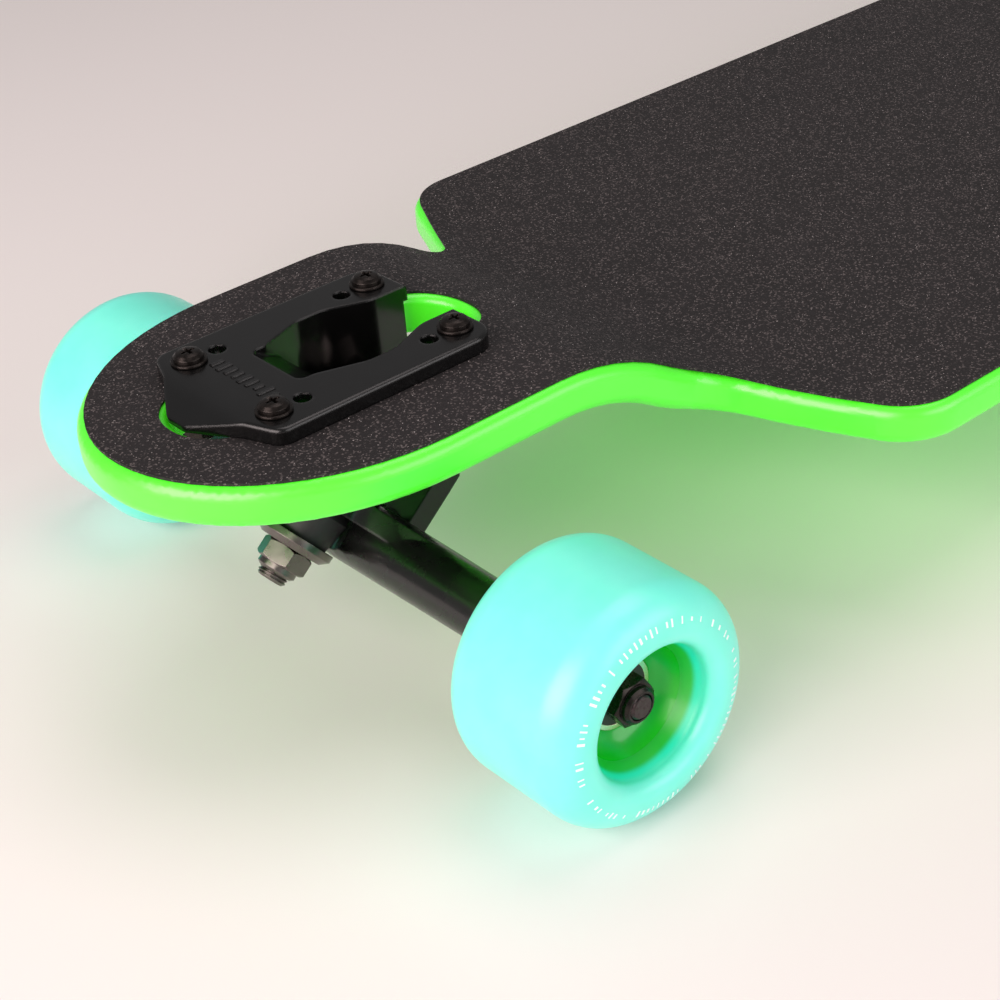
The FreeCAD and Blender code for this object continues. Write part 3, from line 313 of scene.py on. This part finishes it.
def cast_urethane(middle):
    # Dyed cast urethane: satin and cloudy, with a small painted glow in its own colour, greener
    # where the core shows through.
    item, tree, shader = new_material("turquoise_cast_urethane", {
        "Roughness": 0.38, "IOR": 1.5, "Subsurface Weight": 0.55,
        "Coat Weight": 0.5, "Coat Roughness": 0.34,
        "Subsurface Radius": (0.6, 1.0, 0.9), "Subsurface Scale": 7 * MM,
        "Emission Strength": 0.09,
    })
    place = add(tree, "ShaderNodeTexCoord").outputs["Object"]
    distance = axle_distance(tree, place, middle)
    cloudy = add(tree, "ShaderNodeTexNoise", {
        "Vector": place, "Scale": 1 / (16 * MM), "Detail": 3.0})
    body = blend(tree, cloudy.outputs["Fac"], linear("#66e6d0"), linear("#80f0de"))
    near_core = add(tree, "ShaderNodeMapRange", {
        "Value": distance, "From Min": 19.2 * MM, "From Max": 20.9 * MM,
        "To Min": 1.0, "To Max": 0.0}, interpolation_type="SMOOTHERSTEP")
    ringed = blend(tree, near_core.outputs["Result"], body, linear("#02e2b8"))
    at_core = add(tree, "ShaderNodeMapRange", {
        "Value": distance, "From Min": 18.1 * MM, "From Max": 19.4 * MM,
        "To Min": 1.0, "To Max": 0.0}, interpolation_type="SMOOTHERSTEP")
    tone = blend(tree, at_core.outputs["Result"], ringed, linear("#00bc28"))
    tree.links.new(tone, shader.inputs["Base Color"])
    # Painted glow: the urethane's colour is also emitted.
    tree.links.new(tone, shader.inputs["Emission Color"])
    skin = add(tree, "ShaderNodeTexNoise", {
        "Vector": place, "Scale": 1 / (1.2 * MM), "Detail": 3.0})
    bump = add(tree, "ShaderNodeBump", {
        "Height": skin.outputs["Fac"], "Strength": 0.08, "Distance": 0.08 * MM})
    tree.links.new(bump.outputs["Normal"], shader.inputs["Normal"])
    return item


def moulded_core(middle):
    # Injection moulded green nylon: glossy, deep in colour, slightly translucent, a little darker
    # and bluer towards the bearing, with a small painted glow (emission).
    item, tree, shader = new_material("green_moulded_nylon", {
        "Roughness": 0.26, "IOR": 1.45, "Coat Weight": 0.15, "Coat Roughness": 0.08,
        "Subsurface Weight": 0.2, "Subsurface Radius": (0.2, 1.0, 0.3),
        "Subsurface Scale": 2 * MM, "Emission Color": linear("#00d818"),
        "Emission Strength": 0.10,
    })
    place = add(tree, "ShaderNodeTexCoord").outputs["Object"]
    distance = axle_distance(tree, place, middle)
    outward = add(tree, "ShaderNodeMapRange", {
        "Value": distance, "From Min": 13.5 * MM, "From Max": 17 * MM},
        interpolation_type="SMOOTHERSTEP")
    tone = blend(tree, outward.outputs["Result"], linear("#02a838"), linear("#00b40e"))
    flow = add(tree, "ShaderNodeTexNoise", {
        "Vector": place, "Scale": 1 / (5 * MM), "Detail": 2.0})
    bump = add(tree, "ShaderNodeBump", {
        "Height": flow.outputs["Fac"], "Strength": 0.08, "Distance": 0.15 * MM})
    tree.links.new(tone, shader.inputs["Base Color"])
    tree.links.new(bump.outputs["Normal"], shader.inputs["Normal"])
    return item


def moulded_rubber(name, dark, light, rough):
    """Black rubber or urethane with a fine matt skin."""
    item, tree, shader = new_material(name, {"IOR": 1.5})
    place = add(tree, "ShaderNodeTexCoord").outputs["Object"]
    skin = add(tree, "ShaderNodeTexNoise", {
        "Vector": place, "Scale": 1 / (0.9 * MM), "Detail": 3.0})
    tone = blend(tree, skin.outputs["Fac"], linear(dark), linear(light))
    spread = add(tree, "ShaderNodeMapRange", {
        "Value": skin.outputs["Fac"], "To Min": rough * 0.8, "To Max": rough * 1.2})
    bump = add(tree, "ShaderNodeBump", {
        "Height": skin.outputs["Fac"], "Strength": 0.12, "Distance": 0.05 * MM})
    tree.links.new(tone, shader.inputs["Base Color"])
    tree.links.new(spread.outputs["Result"], shader.inputs["Roughness"])
    tree.links.new(bump.outputs["Normal"], shader.inputs["Normal"])
    return item


def pad_print():
    # White pad-printed ink: thin, slightly patchy and satin.
    item, tree, shader = new_material("white_pad_print", {"Roughness": 0.45})
    place = add(tree, "ShaderNodeTexCoord").outputs["Object"]
    patchy = add(tree, "ShaderNodeTexNoise", {
        "Vector": place, "Scale": 1 / (1.5 * MM), "Detail": 3.0})
    tone = blend(tree, patchy.outputs["Fac"], linear("#dffcf8"), linear("#ffffff"))
    tree.links.new(tone, shader.inputs["Base Color"])
    return item


wheel_middle = tyre_box("nose", "left")[0]
FINISHES = {
    "lacquered_maple": lacquered_maple(),
    "grip_tape": grit_sheet(),
    "cast_black": coated_casting("gloss_black_powder_coat", "#050505", "#090909", 0.18, 0.26, 0.2),
    "black_steel": turned_steel("black_oxide_steel", "#1b1918", "#3a3431", 0.28, 1.4, 0.85),
    "zinc_steel": turned_steel("zinc_plated_steel", "#625c5a", "#8b8380", 0.30, 6.0),
    "axle_steel": turned_steel("dark_plated_alloy_steel", "#2b2626", "#5a4f50", 0.32, 1.2),
    "bearing_steel": turned_steel("ground_bearing_steel", "#cfc6a8", "#f2ead0", 0.18, 2.5),
    "bearing_shield": moulded_rubber("black_nitrile_seal", "#121012", "#2a2528", 0.42),
    "wheel_urethane": cast_urethane(wheel_middle),
    "wheel_core": moulded_core(wheel_middle),
    "bushing_urethane": moulded_rubber("black_bushing_urethane", "#0c0c0d", "#1c1c1e", 0.5),
    "pivot_urethane": moulded_rubber("black_pivot_urethane", "#0c0c0d", "#161618", 0.6),
}
SATIN_BLACK = coated_casting("satin_black_paint", "#090a09", "#111211", 0.24, 0.32, 0.4)
CRYSTAL = crystal()
INK = pad_print()


# ---------------------------------------------------------------------------------------------
# Mesh helpers
# ---------------------------------------------------------------------------------------------
def dress(piece, body, material, replaced=()):
    """Give a finished piece its material and the body it rides on, and hide the CAD nodes it
    stands in for.
    """
    piece.data.materials.clear()
    piece.data.materials.append(material)
    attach(piece, body)
    if replaced:
        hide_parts(*replaced)
    return piece


def new_piece(name, mesh):
    piece = bpy.data.objects.new(name, mesh)
    bpy.context.scene.collection.objects.link(piece)
    return piece


def body_of(node_name):
    return frame["nodes"][node_name]["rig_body"]


def slot_of(node_name):
    """The material slot that the record gives a CAD node."""
    for part in frame["record"]["subparts"]:
        if part["node"] == node_name:
            return part["material_slot"]
    raise ValueError(node_name)


def merged(node_name):
    """A CAD node's triangles joined into one skin, as an editable mesh."""
    mesh = frame["nodes"][node_name].data.copy()
    if "custom_normal" in mesh.attributes:
        mesh.attributes.remove(mesh.attributes["custom_normal"])
    skin = bmesh.new()
    skin.from_mesh(mesh)
    bmesh.ops.remove_doubles(skin, verts=skin.verts, dist=0.001 * MM)
    bpy.data.meshes.remove(mesh)
    return skin


def to_mesh(skin, name, crease=30):
    """Turn an editable mesh into a mesh with smooth faces and crisp edges."""
    mesh = bpy.data.meshes.new(name)
    skin.to_mesh(mesh)
    skin.free()
    mesh.shade_smooth()
    mesh.set_sharp_from_angle(angle=math.radians(crease))
    return mesh


def skin_for(node_name, mesh, material=None):
    """A piece in place of a CAD node, with that node's body and, unless a material is given, the
    finish for that node's material slot.

    Large faces set the normals, so flats stay flat next to their roundings.
    """
    piece = new_piece(f"{node_name}_skin", mesh)
    weighted = piece.modifiers.new("even_shading", "WEIGHTED_NORMAL")
    weighted.keep_sharp = True
    weighted.mode = "FACE_AREA"
    slot_name = slot_of(node_name)
    finish = material or FINISHES[slot_name]
    return dress(piece, body_of(node_name), finish, [node_name])


def smoothed_node(node_name, material=None, crease=30):
    """A smooth-shaded copy of a CAD node in its place."""
    return skin_for(node_name, to_mesh(merged(node_name), node_name, crease), material)


def arc(centre_r, centre_h, radius, start, end, count):
    """Points of an arc in (radius, along) from one angle to another, in degrees."""
    points = []
    for index in range(count + 1):
        turn = math.radians(start + (end - start) * index / count)
        points.append((centre_r + radius * math.cos(turn), centre_h + radius * math.sin(turn)))
    return points


def spun(name, profile, middle, outboard, steps):
    """Closed ring turned about the axle from a closed profile of (radius, outboard) in mm."""
    skin = bmesh.new()
    rings = []
    for radius, along in profile:
        ring = []
        for step in range(steps):
            turn = 2 * math.pi * step / steps
            ring.append(skin.verts.new((
                middle.x + radius * MM * math.cos(turn),
                middle.y + outboard * along * MM,
                middle.z + radius * MM * math.sin(turn),
            )))
        rings.append(ring)
    for index, ring in enumerate(rings):
        following = rings[(index + 1) % len(rings)]
        for step in range(steps):
            after = (step + 1) % steps
            skin.faces.new((ring[step], ring[after], following[after], following[step]))
    bmesh.ops.recalc_face_normals(skin, faces=skin.faces)
    return new_piece(name, to_mesh(skin, name))


def threaded_stud(start, direction, length, radius, steps=28):
    """Closed stud with a helical thread and a chamfered tip, from start along direction."""
    rows = max(4, math.ceil(length / THREAD_PITCH * THREAD_ROWS_PER_TURN))
    frame_turn = direction.to_track_quat("Z", "Y").to_matrix().to_4x4()
    place = Matrix.Translation(start) @ frame_turn
    skin = bmesh.new()
    rings = []
    for row in range(rows + 1):
        along = length * row / rows
        ring = []
        for step in range(steps):
            turn = step / steps
            phase = (along / THREAD_PITCH - turn) % 1.0
            groove = THREAD_DEPTH * max(0.0, 1 - GROOVE_STEEPNESS * abs(phase - 0.5))
            tip = min(radius, radius - THREAD_CHAMFER + (length - along))
            reach = min(radius - groove, tip)
            angle = 2 * math.pi * turn
            ring.append(skin.verts.new(
                place @ Vector((reach * math.cos(angle), reach * math.sin(angle), along))))
        rings.append(ring)
    for ring, following in zip(rings, rings[1:]):
        for step in range(steps):
            after = (step + 1) % steps
            skin.faces.new((ring[step], ring[after], following[after], following[step]))
    skin.faces.new(list(reversed(rings[0])))
    skin.faces.new(rings[-1])
    bmesh.ops.recalc_face_normals(skin, faces=skin.faces)
    return skin


def with_studs(node_name, studs):
    """A CAD rod with its plain ends cut off and threaded studs put there.

    Each stud is (start, direction, length, radius); the rod is cut just past its start.
    """
    overlap = 0.05 * MM
    skin = merged(node_name)
    for start, direction, _, radius in studs:
        near = [
            vert for vert in skin.verts
            if ((vert.co - start) - direction * (vert.co - start).dot(direction)).length
            < radius * 3
        ]
        faces = {face for vert in near for face in vert.link_faces}
        edges = {edge for vert in near for edge in vert.link_edges}
        cut = bmesh.ops.bisect_plane(
            skin, geom=near + list(edges) + list(faces), plane_co=start + direction * overlap,
            plane_no=direction, clear_outer=True)
        rim = [item for item in cut["geom_cut"] if isinstance(item, bmesh.types.BMEdge)]
        bmesh.ops.holes_fill(skin, edges=rim)
    mesh = to_mesh(skin, node_name)
    joined = bmesh.new()
    joined.from_mesh(mesh)
    for stud in studs:
        thread = to_mesh(threaded_stud(*stud), "stud")
        joined.from_mesh(thread)
        bpy.data.meshes.remove(thread)
    bpy.data.meshes.remove(mesh)
    return skin_for(node_name, to_mesh(joined, node_name))


# ---------------------------------------------------------------------------------------------
# Geometry Nodes helpers
# ---------------------------------------------------------------------------------------------
def new_tree(name, sockets):
    """A geometry tree with named inputs given as (name, socket type, value)."""
    tree = bpy.data.node_groups.new(name, "GeometryNodeTree")
    for label, kind, value in sockets:
        socket = tree.interface.new_socket(label, in_out="INPUT", socket_type=kind)
        if value is not None:
            socket.default_value = value
    tree.interface.new_socket("Geometry", in_out="OUTPUT", socket_type="NodeSocketGeometry")
    return tree, add(tree, "NodeGroupInput").outputs


def grown(name, tree, source_mesh, values, place=Matrix.Identity(4)):
    """Run a geometry tree on a mesh and keep the result as a plain piece."""
    carrier = new_piece(name + "_carrier", source_mesh)
    modifier = carrier.modifiers.new("growth", "NODES")
    modifier.node_group = tree
    identifiers = {
        item.name: item.identifier for item in tree.interface.items_tree if item.in_out == "INPUT"}
    for label, value in values.items():
        modifier[identifiers[label]] = value
    bpy.context.view_layer.update()
    graph = bpy.context.evaluated_depsgraph_get()
    mesh = bpy.data.meshes.new_from_object(carrier.evaluated_get(graph))
    carrier.modifiers.remove(modifier)
    bpy.data.objects.remove(carrier)
    mesh.transform(place)
    return new_piece(name, mesh)


def grain_tree():
    """Crystals scattered over a sheet's upper faces."""
    tree, given = new_tree("grit_crystals", [
        ("Geometry", "NodeSocketGeometry", None), ("Density", "NodeSocketFloat", GRIT_DENSITY),
        ("Grain", "NodeSocketFloat", GRIT_RADIUS), ("Seed", "NodeSocketInt", GRIT_SEED)])
    normal = add(tree, "GeometryNodeInputNormal").outputs[0]
    height = add(tree, "ShaderNodeSeparateXYZ", {"Vector": normal}).outputs["Z"]
    upper = add(tree, "FunctionNodeCompare", {
        0: height, 1: GRIT_FACE_UP}, operation="GREATER_THAN")
    points = add(tree, "GeometryNodeDistributePointsOnFaces", {
        "Mesh": given["Geometry"], "Selection": upper.outputs[0],
        "Density": given["Density"], "Seed": given["Seed"]})
    grain = add(tree, "GeometryNodeMeshIcoSphere", {"Radius": given["Grain"], "Subdivisions": 1})
    size = add(tree, "FunctionNodeRandomValue", {
        0: (0.5, 0.5, 0.4), 1: (1.3, 1.3, 1.0), "Seed": given["Seed"]}, data_type="FLOAT_VECTOR")
    turn = add(tree, "FunctionNodeRandomValue", {
        0: (0.0,) * 3, 1: (FULL_TURN,) * 3, "Seed": GRIT_TURN_SEED}, data_type="FLOAT_VECTOR")
    placed = add(tree, "GeometryNodeInstanceOnPoints", {
        "Points": points.outputs["Points"], "Instance": grain.outputs["Mesh"],
        "Rotation": turn.outputs[0], "Scale": size.outputs[0]})
    real = add(tree, "GeometryNodeRealizeInstances", {"Geometry": placed.outputs["Instances"]})
    done = add(tree, "GeometryNodeSetMaterial", {
        "Geometry": real.outputs["Geometry"], "Material": CRYSTAL})
    add(tree, "NodeGroupOutput", {"Geometry": done.outputs["Geometry"]})
    return tree


def mark_tree():
    """Short printed bars set round a circle, in uneven groups, tilted to lie on the lip."""
    tree, given = new_tree("printed_marks", [
        ("Geometry", "NodeSocketGeometry", None), ("Count", "NodeSocketInt", MARK_COUNT),
        ("Radius", "NodeSocketFloat", MARK_RADIUS), ("Height", "NodeSocketFloat", 0.0),
        ("Bar", "NodeSocketVector", MARK_BAR),
        ("Tilt", "NodeSocketFloat", 0.0), ("Share", "NodeSocketFloat", MARK_SHARE),
        ("Seed", "NodeSocketInt", MARK_SEED)])
    circle = add(tree, "GeometryNodeMeshCircle", {
        "Vertices": given["Count"], "Radius": given["Radius"]})
    number = add(tree, "GeometryNodeInputIndex").outputs[0]
    part = add(tree, "ShaderNodeMath", {0: number, 1: given["Count"]}, operation="DIVIDE")
    turn = add(tree, "ShaderNodeMath", {0: part.outputs[0], 1: 2 * math.pi}, operation="MULTIPLY")
    facing = add(tree, "ShaderNodeCombineXYZ", {"Y": given["Tilt"], "Z": turn.outputs[0]})
    kept = add(tree, "FunctionNodeRandomValue", {
        "Probability": given["Share"], "Seed": given["Seed"]}, data_type="BOOLEAN")
    scale = add(tree, "FunctionNodeRandomValue", {
        0: (0.45, 0.7, 1.0), 1: (1.0, 1.5, 1.0), "Seed": MARK_SCALE_SEED},
        data_type="FLOAT_VECTOR")
    bar = add(tree, "GeometryNodeMeshCube", {"Size": given["Bar"]})
    placed = add(tree, "GeometryNodeInstanceOnPoints", {
        "Points": circle.outputs["Mesh"], "Selection": kept.outputs[3],
        "Instance": bar.outputs["Mesh"], "Rotation": facing.outputs[0],
        "Scale": scale.outputs[0]})
    lifted = add(tree, "ShaderNodeCombineXYZ", {"Z": given["Height"]})
    moved = add(tree, "GeometryNodeTransform", {
        "Geometry": placed.outputs["Instances"], "Translation": lifted.outputs[0]})
    real = add(tree, "GeometryNodeRealizeInstances", {"Geometry": moved.outputs["Geometry"]})
    done = add(tree, "GeometryNodeSetMaterial", {
        "Geometry": real.outputs["Geometry"], "Material": INK})
    add(tree, "NodeGroupOutput", {"Geometry": done.outputs["Geometry"]})
    return tree


def rib_tree():
    """Raised bars cast across the base plate, in a row."""
    tree, given = new_tree("cast_ribs", [
        ("Geometry", "NodeSocketGeometry", None), ("Count", "NodeSocketInt", RIB_COUNT),
        ("Spacing", "NodeSocketFloat", RIB_SPACING), ("Rib", "NodeSocketVector", RIB_BAR)])
    gap = add(tree, "ShaderNodeCombineXYZ", {"Y": given["Spacing"]})
    row = add(tree, "GeometryNodeMeshLine", {"Count": given["Count"], "Offset": gap.outputs[0]})
    tall = add(tree, "FunctionNodeRandomValue", {
        0: (0.55, 0.8, 1.0), 1: (1.0, 1.15, 1.0), "Seed": RIB_SEED}, data_type="FLOAT_VECTOR")
    rib = add(tree, "GeometryNodeMeshCube", {"Size": given["Rib"]})
    placed = add(tree, "GeometryNodeInstanceOnPoints", {
        "Points": row.outputs["Mesh"], "Instance": rib.outputs["Mesh"],
        "Scale": tall.outputs[0]})
    real = add(tree, "GeometryNodeRealizeInstances", {"Geometry": placed.outputs["Instances"]})
    done = add(tree, "GeometryNodeSetMaterial", {
        "Geometry": real.outputs["Geometry"], "Material": FINISHES["cast_black"]})
    add(tree, "NodeGroupOutput", {"Geometry": done.outputs["Geometry"]})
    return tree


# ---------------------------------------------------------------------------------------------
# Deck and grip
# ---------------------------------------------------------------------------------------------
smoothed_node("deck", crease=40)
grip = smoothed_node("grip_tape", crease=40)
crystals = grown("grit_crystals", grain_tree(), grip.data.copy(), {
    "Density": GRIT_DENSITY, "Grain": GRIT_RADIUS, "Seed": GRIT_SEED})
dress(crystals, "board", CRYSTAL)


# ---------------------------------------------------------------------------------------------
# Trucks
# ---------------------------------------------------------------------------------------------
def kingpin_stud(end):
    """The threaded end of a kingpin, from inside its nut to its tip."""
    inboard = 1.0 if end == "nose" else -1.0
    down = Vector((-inboard * math.sin(TRUCK_ANGLE), 0.0, -math.cos(TRUCK_ANGLE)))
    joint = next(j for j in frame["joints"] if j["name"] == f"{end}_steer")
    start = Vector(joint["pos_m"]) + down * (NUT_SEAT + INSIDE_NUT)
    return start, down, NUT_AND_STUB - INSIDE_NUT, KINGPIN_RADIUS


def axle_studs(end):
    """The threaded ends of an axle."""
    low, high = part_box(f"{end}_axle")
    middle = (low + high) / 2
    reach = (high.y - low.y) / 2 - AXLE_THREAD_LONG
    return [
        (middle + Vector((0, way * reach, 0)), Vector((0, way, 0)), AXLE_THREAD_LONG, AXLE_RADIUS)
        for way in (-1, 1)
    ]


for end in ENDS:
    smoothed_node(f"{end}_baseplate")
    smoothed_node(f"{end}_hanger", SATIN_BLACK)
    with_studs(f"{end}_kingpin", [kingpin_stud(end)])
    with_studs(f"{end}_axle", axle_studs(end))
    for name in (
        "kingpin_nut", "boardside_bushing", "roadside_bushing", "boardside_cup_washer",
        "roadside_cup_washer", "pivot_cup", "mounting_bolts", "mounting_washers",
        "mounting_nuts", "axle_nuts", "speed_washers", "bearing_spacers",
        "bearing_inner_rings",
    ):
        smoothed_node(f"{end}_{name}")


# ---------------------------------------------------------------------------------------------
# Wheels
# ---------------------------------------------------------------------------------------------
def tyre_profile(radius, half):
    """Closed section of the tyre in mm: tread, lips, faces, hub recess and core seat."""
    lip_at = half - TYRE_LIP
    core_out = BEARING_WIDE + SPACER_LONG / 2 + CORE_PAST_BEARING - TYRE_OFFSET
    core_in = -BEARING_WIDE - SPACER_LONG / 2 - CORE_PAST_BEARING - TYRE_OFFSET
    profile = [(radius, along) for along in (-lip_at, -lip_at / 3, lip_at / 3)]
    profile += arc(radius - TYRE_LIP, lip_at, TYRE_LIP, 0, 90, 18)
    inner_lip = radius - TYRE_LIP - RECESS_RADIUS
    face = radius - TYRE_LIP
    profile += arc(face, half - inner_lip, inner_lip, 96, 180, 10)
    profile += [
        (RECESS_RADIUS - inwards, half - RECESS_DIP - deeper) for inwards, deeper in RECESS_WALL
    ]
    profile += [
        (CORE_RIM, half - CORE_RIM_DIP),
        (CORE_RIM + RIM_TUCK[0], half - CORE_RIM_DIP - RIM_TUCK[1]),
        (CORE_RADIUS, core_out - 4), (CORE_RADIUS, core_in + 4),
        (CORE_RADIUS - 1, core_in), (BEARING_RADIUS + BEARING_LIP, core_in),
        (RECESS_RADIUS - 1.5, -half + RECESS_DIP),
    ]
    profile += arc(face, inner_lip - half, inner_lip, 180, 264, 10)
    profile += arc(radius - TYRE_LIP, -lip_at, TYRE_LIP, -90, 0, 18)[:-1]
    return profile


def core_profile(half):
    """Closed section of the core in mm: bearing seats, inner flange and the visible dish."""
    low = -SPACER_LONG / 2 - TYRE_OFFSET
    high = SPACER_LONG / 2 - TYRE_OFFSET
    rim = half - CORE_RIM_DIP
    dish = [
        (BEARING_RADIUS + outwards, high + BEARING_WIDE + rise) for outwards, rise in CORE_DISH
    ]
    return [
        (BEARING_RADIUS, low - BEARING_WIDE), (BEARING_RADIUS, low),
        (BEARING_RADIUS - BEARING_STOP, low), (BEARING_RADIUS - BEARING_STOP, high),
        (BEARING_RADIUS, high), (BEARING_RADIUS, high + BEARING_WIDE - 0.2),
        *dish,
        (CORE_RIM, rim), (CORE_RIM + RIM_TUCK[0], rim - RIM_TUCK[1]),
        (CORE_RADIUS, high + BEARING_WIDE - 1.4), (CORE_RADIUS, low - BEARING_WIDE + 1.4),
        (CORE_RADIUS - 1, low - BEARING_WIDE - CORE_PAST_BEARING),
        (BEARING_RADIUS + BEARING_LIP, low - BEARING_WIDE - CORE_PAST_BEARING),
    ]


marks_tree = mark_tree()
for end in ENDS:
    for side in SIDES:
        wheel = f"{end}_{side}"
        body = f"{wheel}_wheel"
        middle, radius, half, outboard = tyre_box(end, side)
        section = tyre_profile(radius / MM, half / MM)
        tyre = spun(f"{wheel}_tyre_skin", section, middle, outboard, TYRE_STEPS)
        dress(tyre, body, FINISHES["wheel_urethane"], [f"{wheel}_tyre"])
        core = spun(f"{wheel}_core_skin", core_profile(half / MM), middle, outboard, CORE_STEPS)
        dress(core, body, FINISHES["wheel_core"], [f"{wheel}_core"])
        for name in ("bearing_outer_rings", "bearing_shields", "bearing_balls"):
            smoothed_node(f"{wheel}_{name}")
        lip = TYRE_LIP * MM
        offset = (MARK_RADIUS - radius + lip) / lip
        rise = half - lip + lip * math.sqrt(1 - offset ** 2)
        to_wheel = Matrix.Translation(middle) @ Matrix.Rotation(-outboard * math.pi / 2, 4, "X")
        marks = grown(f"{wheel}_printed_marks", marks_tree, bpy.data.meshes.new("empty"), {
            "Count": MARK_COUNT, "Radius": MARK_RADIUS, "Height": rise, "Tilt": math.asin(offset),
            "Bar": MARK_BAR, "Share": MARK_SHARE, "Seed": MARK_SEED}, to_wheel)
        dress(marks, body, INK)


# ---------------------------------------------------------------------------------------------
# Ribs on the base plates
# ---------------------------------------------------------------------------------------------
ribs_tree = rib_tree()
for end in ENDS:
    plate_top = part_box(f"{end}_baseplate")[1].z
    sign = -1 if end == "nose" else 1
    bolt_low, bolt_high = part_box(f"{end}_mounting_bolts")
    pattern_middle = (bolt_low.x + bolt_high.x) / 2
    place = Matrix.Translation((pattern_middle + sign * RIB_OUTBOARD, RIB_ROW_START, plate_top))
    ribs = grown(f"{end}_cast_ribs", ribs_tree, bpy.data.meshes.new("empty"), {
        "Count": RIB_COUNT, "Spacing": RIB_SPACING, "Rib": RIB_BAR}, place)
    dress(ribs, "board", FINISHES["cast_black"])


# ---------------------------------------------------------------------------------------------
# Studio
# ---------------------------------------------------------------------------------------------
# Metres for the floor and the lights; millimetres for the camera, from the CAD origin.
FLOOR_HALF = 4.0
CAMERA_PLACE = Vector((-660.6, -429.1, 366.0)) * MM
CAMERA_TARGET = Vector((-446.7, -158.0, 146.4)) * MM
CAMERA_ROLL = math.radians(-4.88)
CAMERA_LENS = 72.9
CAMERA_SENSOR = 36
LIGHT_TARGET = Vector((-380, -60, 60)) * MM
# Name, azimuth, elevation, distance, size, watts and colour of each softbox.
SOFTBOXES = (
    ("key", -82, 26, 1.3, (1.3, 1.0), 26, "#fff0ee"),
    ("front", 22, 20, 1.8, (1.8, 0.9), 16, "#fffafa"),
    ("top", 100, 72, 1.8, (1.4, 1.0), 10, "#fff4f3"),
)
AIR_STRENGTH = 0.30


def studio_floor():
    """Plain pale floor."""
    half = FLOOR_HALF
    corners = [(-half, -half, 0), (half, -half, 0), (half, half, 0), (-half, half, 0)]
    mesh = bpy.data.meshes.new("studio_floor")
    mesh.from_pydata(corners, [], [(0, 1, 2, 3)])
    floor = new_piece("studio_floor", mesh)
    item, tree, shader = new_material("pale_studio_card", {"Roughness": 0.55})
    place = add(tree, "ShaderNodeTexCoord").outputs["Object"]
    cloudy = add(tree, "ShaderNodeTexNoise", {"Vector": place, "Scale": 2.0, "Detail": 2.0})
    tone = blend(tree, cloudy.outputs["Fac"], linear("#e6e1df"), linear("#eae6e4"))
    tree.links.new(tone, shader.inputs["Base Color"])
    mesh.materials.append(item)


def softbox(name, azimuth, elevation, distance, size, watts, colour, target):
    """A rectangular soft light aimed at a point; azimuth 0 is in front (-Y), -90 is the nose."""
    turn, rise = math.radians(azimuth), math.radians(elevation)
    direction = Vector((
        math.sin(turn) * math.cos(rise), -math.cos(turn) * math.cos(rise), math.sin(rise)))
    data = bpy.data.lights.new(name, "AREA")
    data.shape = "RECTANGLE"
    data.size, data.size_y = size
    data.energy = watts
    data.color = linear(colour)[:3]
    lamp = bpy.data.objects.new(name, data)
    lamp.location = target + direction * distance
    lamp.rotation_euler = (-direction).to_track_quat("-Z", "Y").to_euler()
    bpy.context.scene.collection.objects.link(lamp)


def studio_camera():
    """Camera at the nose corner, looking down at the nose truck."""
    data = bpy.data.cameras.new("camera")
    data.lens = CAMERA_LENS
    data.sensor_width = CAMERA_SENSOR
    data.clip_start, data.clip_end = 0.01, 50
    camera = bpy.data.objects.new("camera", data)
    aim = (CAMERA_TARGET - CAMERA_PLACE).to_track_quat("-Z", "Y").to_matrix().to_4x4()
    lean = Matrix.Rotation(CAMERA_ROLL, 4, "Z")
    camera.matrix_world = Matrix.Translation(CAMERA_PLACE) @ aim @ lean
    bpy.context.scene.collection.objects.link(camera)
    bpy.context.scene.camera = camera


def studio_air():
    """Even light from all round."""
    world = bpy.data.worlds.new("studio_air")
    world.use_nodes = True
    back = world.node_tree.nodes["Background"]
    back.inputs["Color"].default_value = linear("#ebe8e8")
    back.inputs["Strength"].default_value = AIR_STRENGTH
    bpy.context.scene.world = world


studio_floor()
studio_air()
studio_camera()
for settings in SOFTBOXES:
    softbox(*settings, LIGHT_TARGET)

bpy.context.scene.view_settings.view_transform = "Standard"
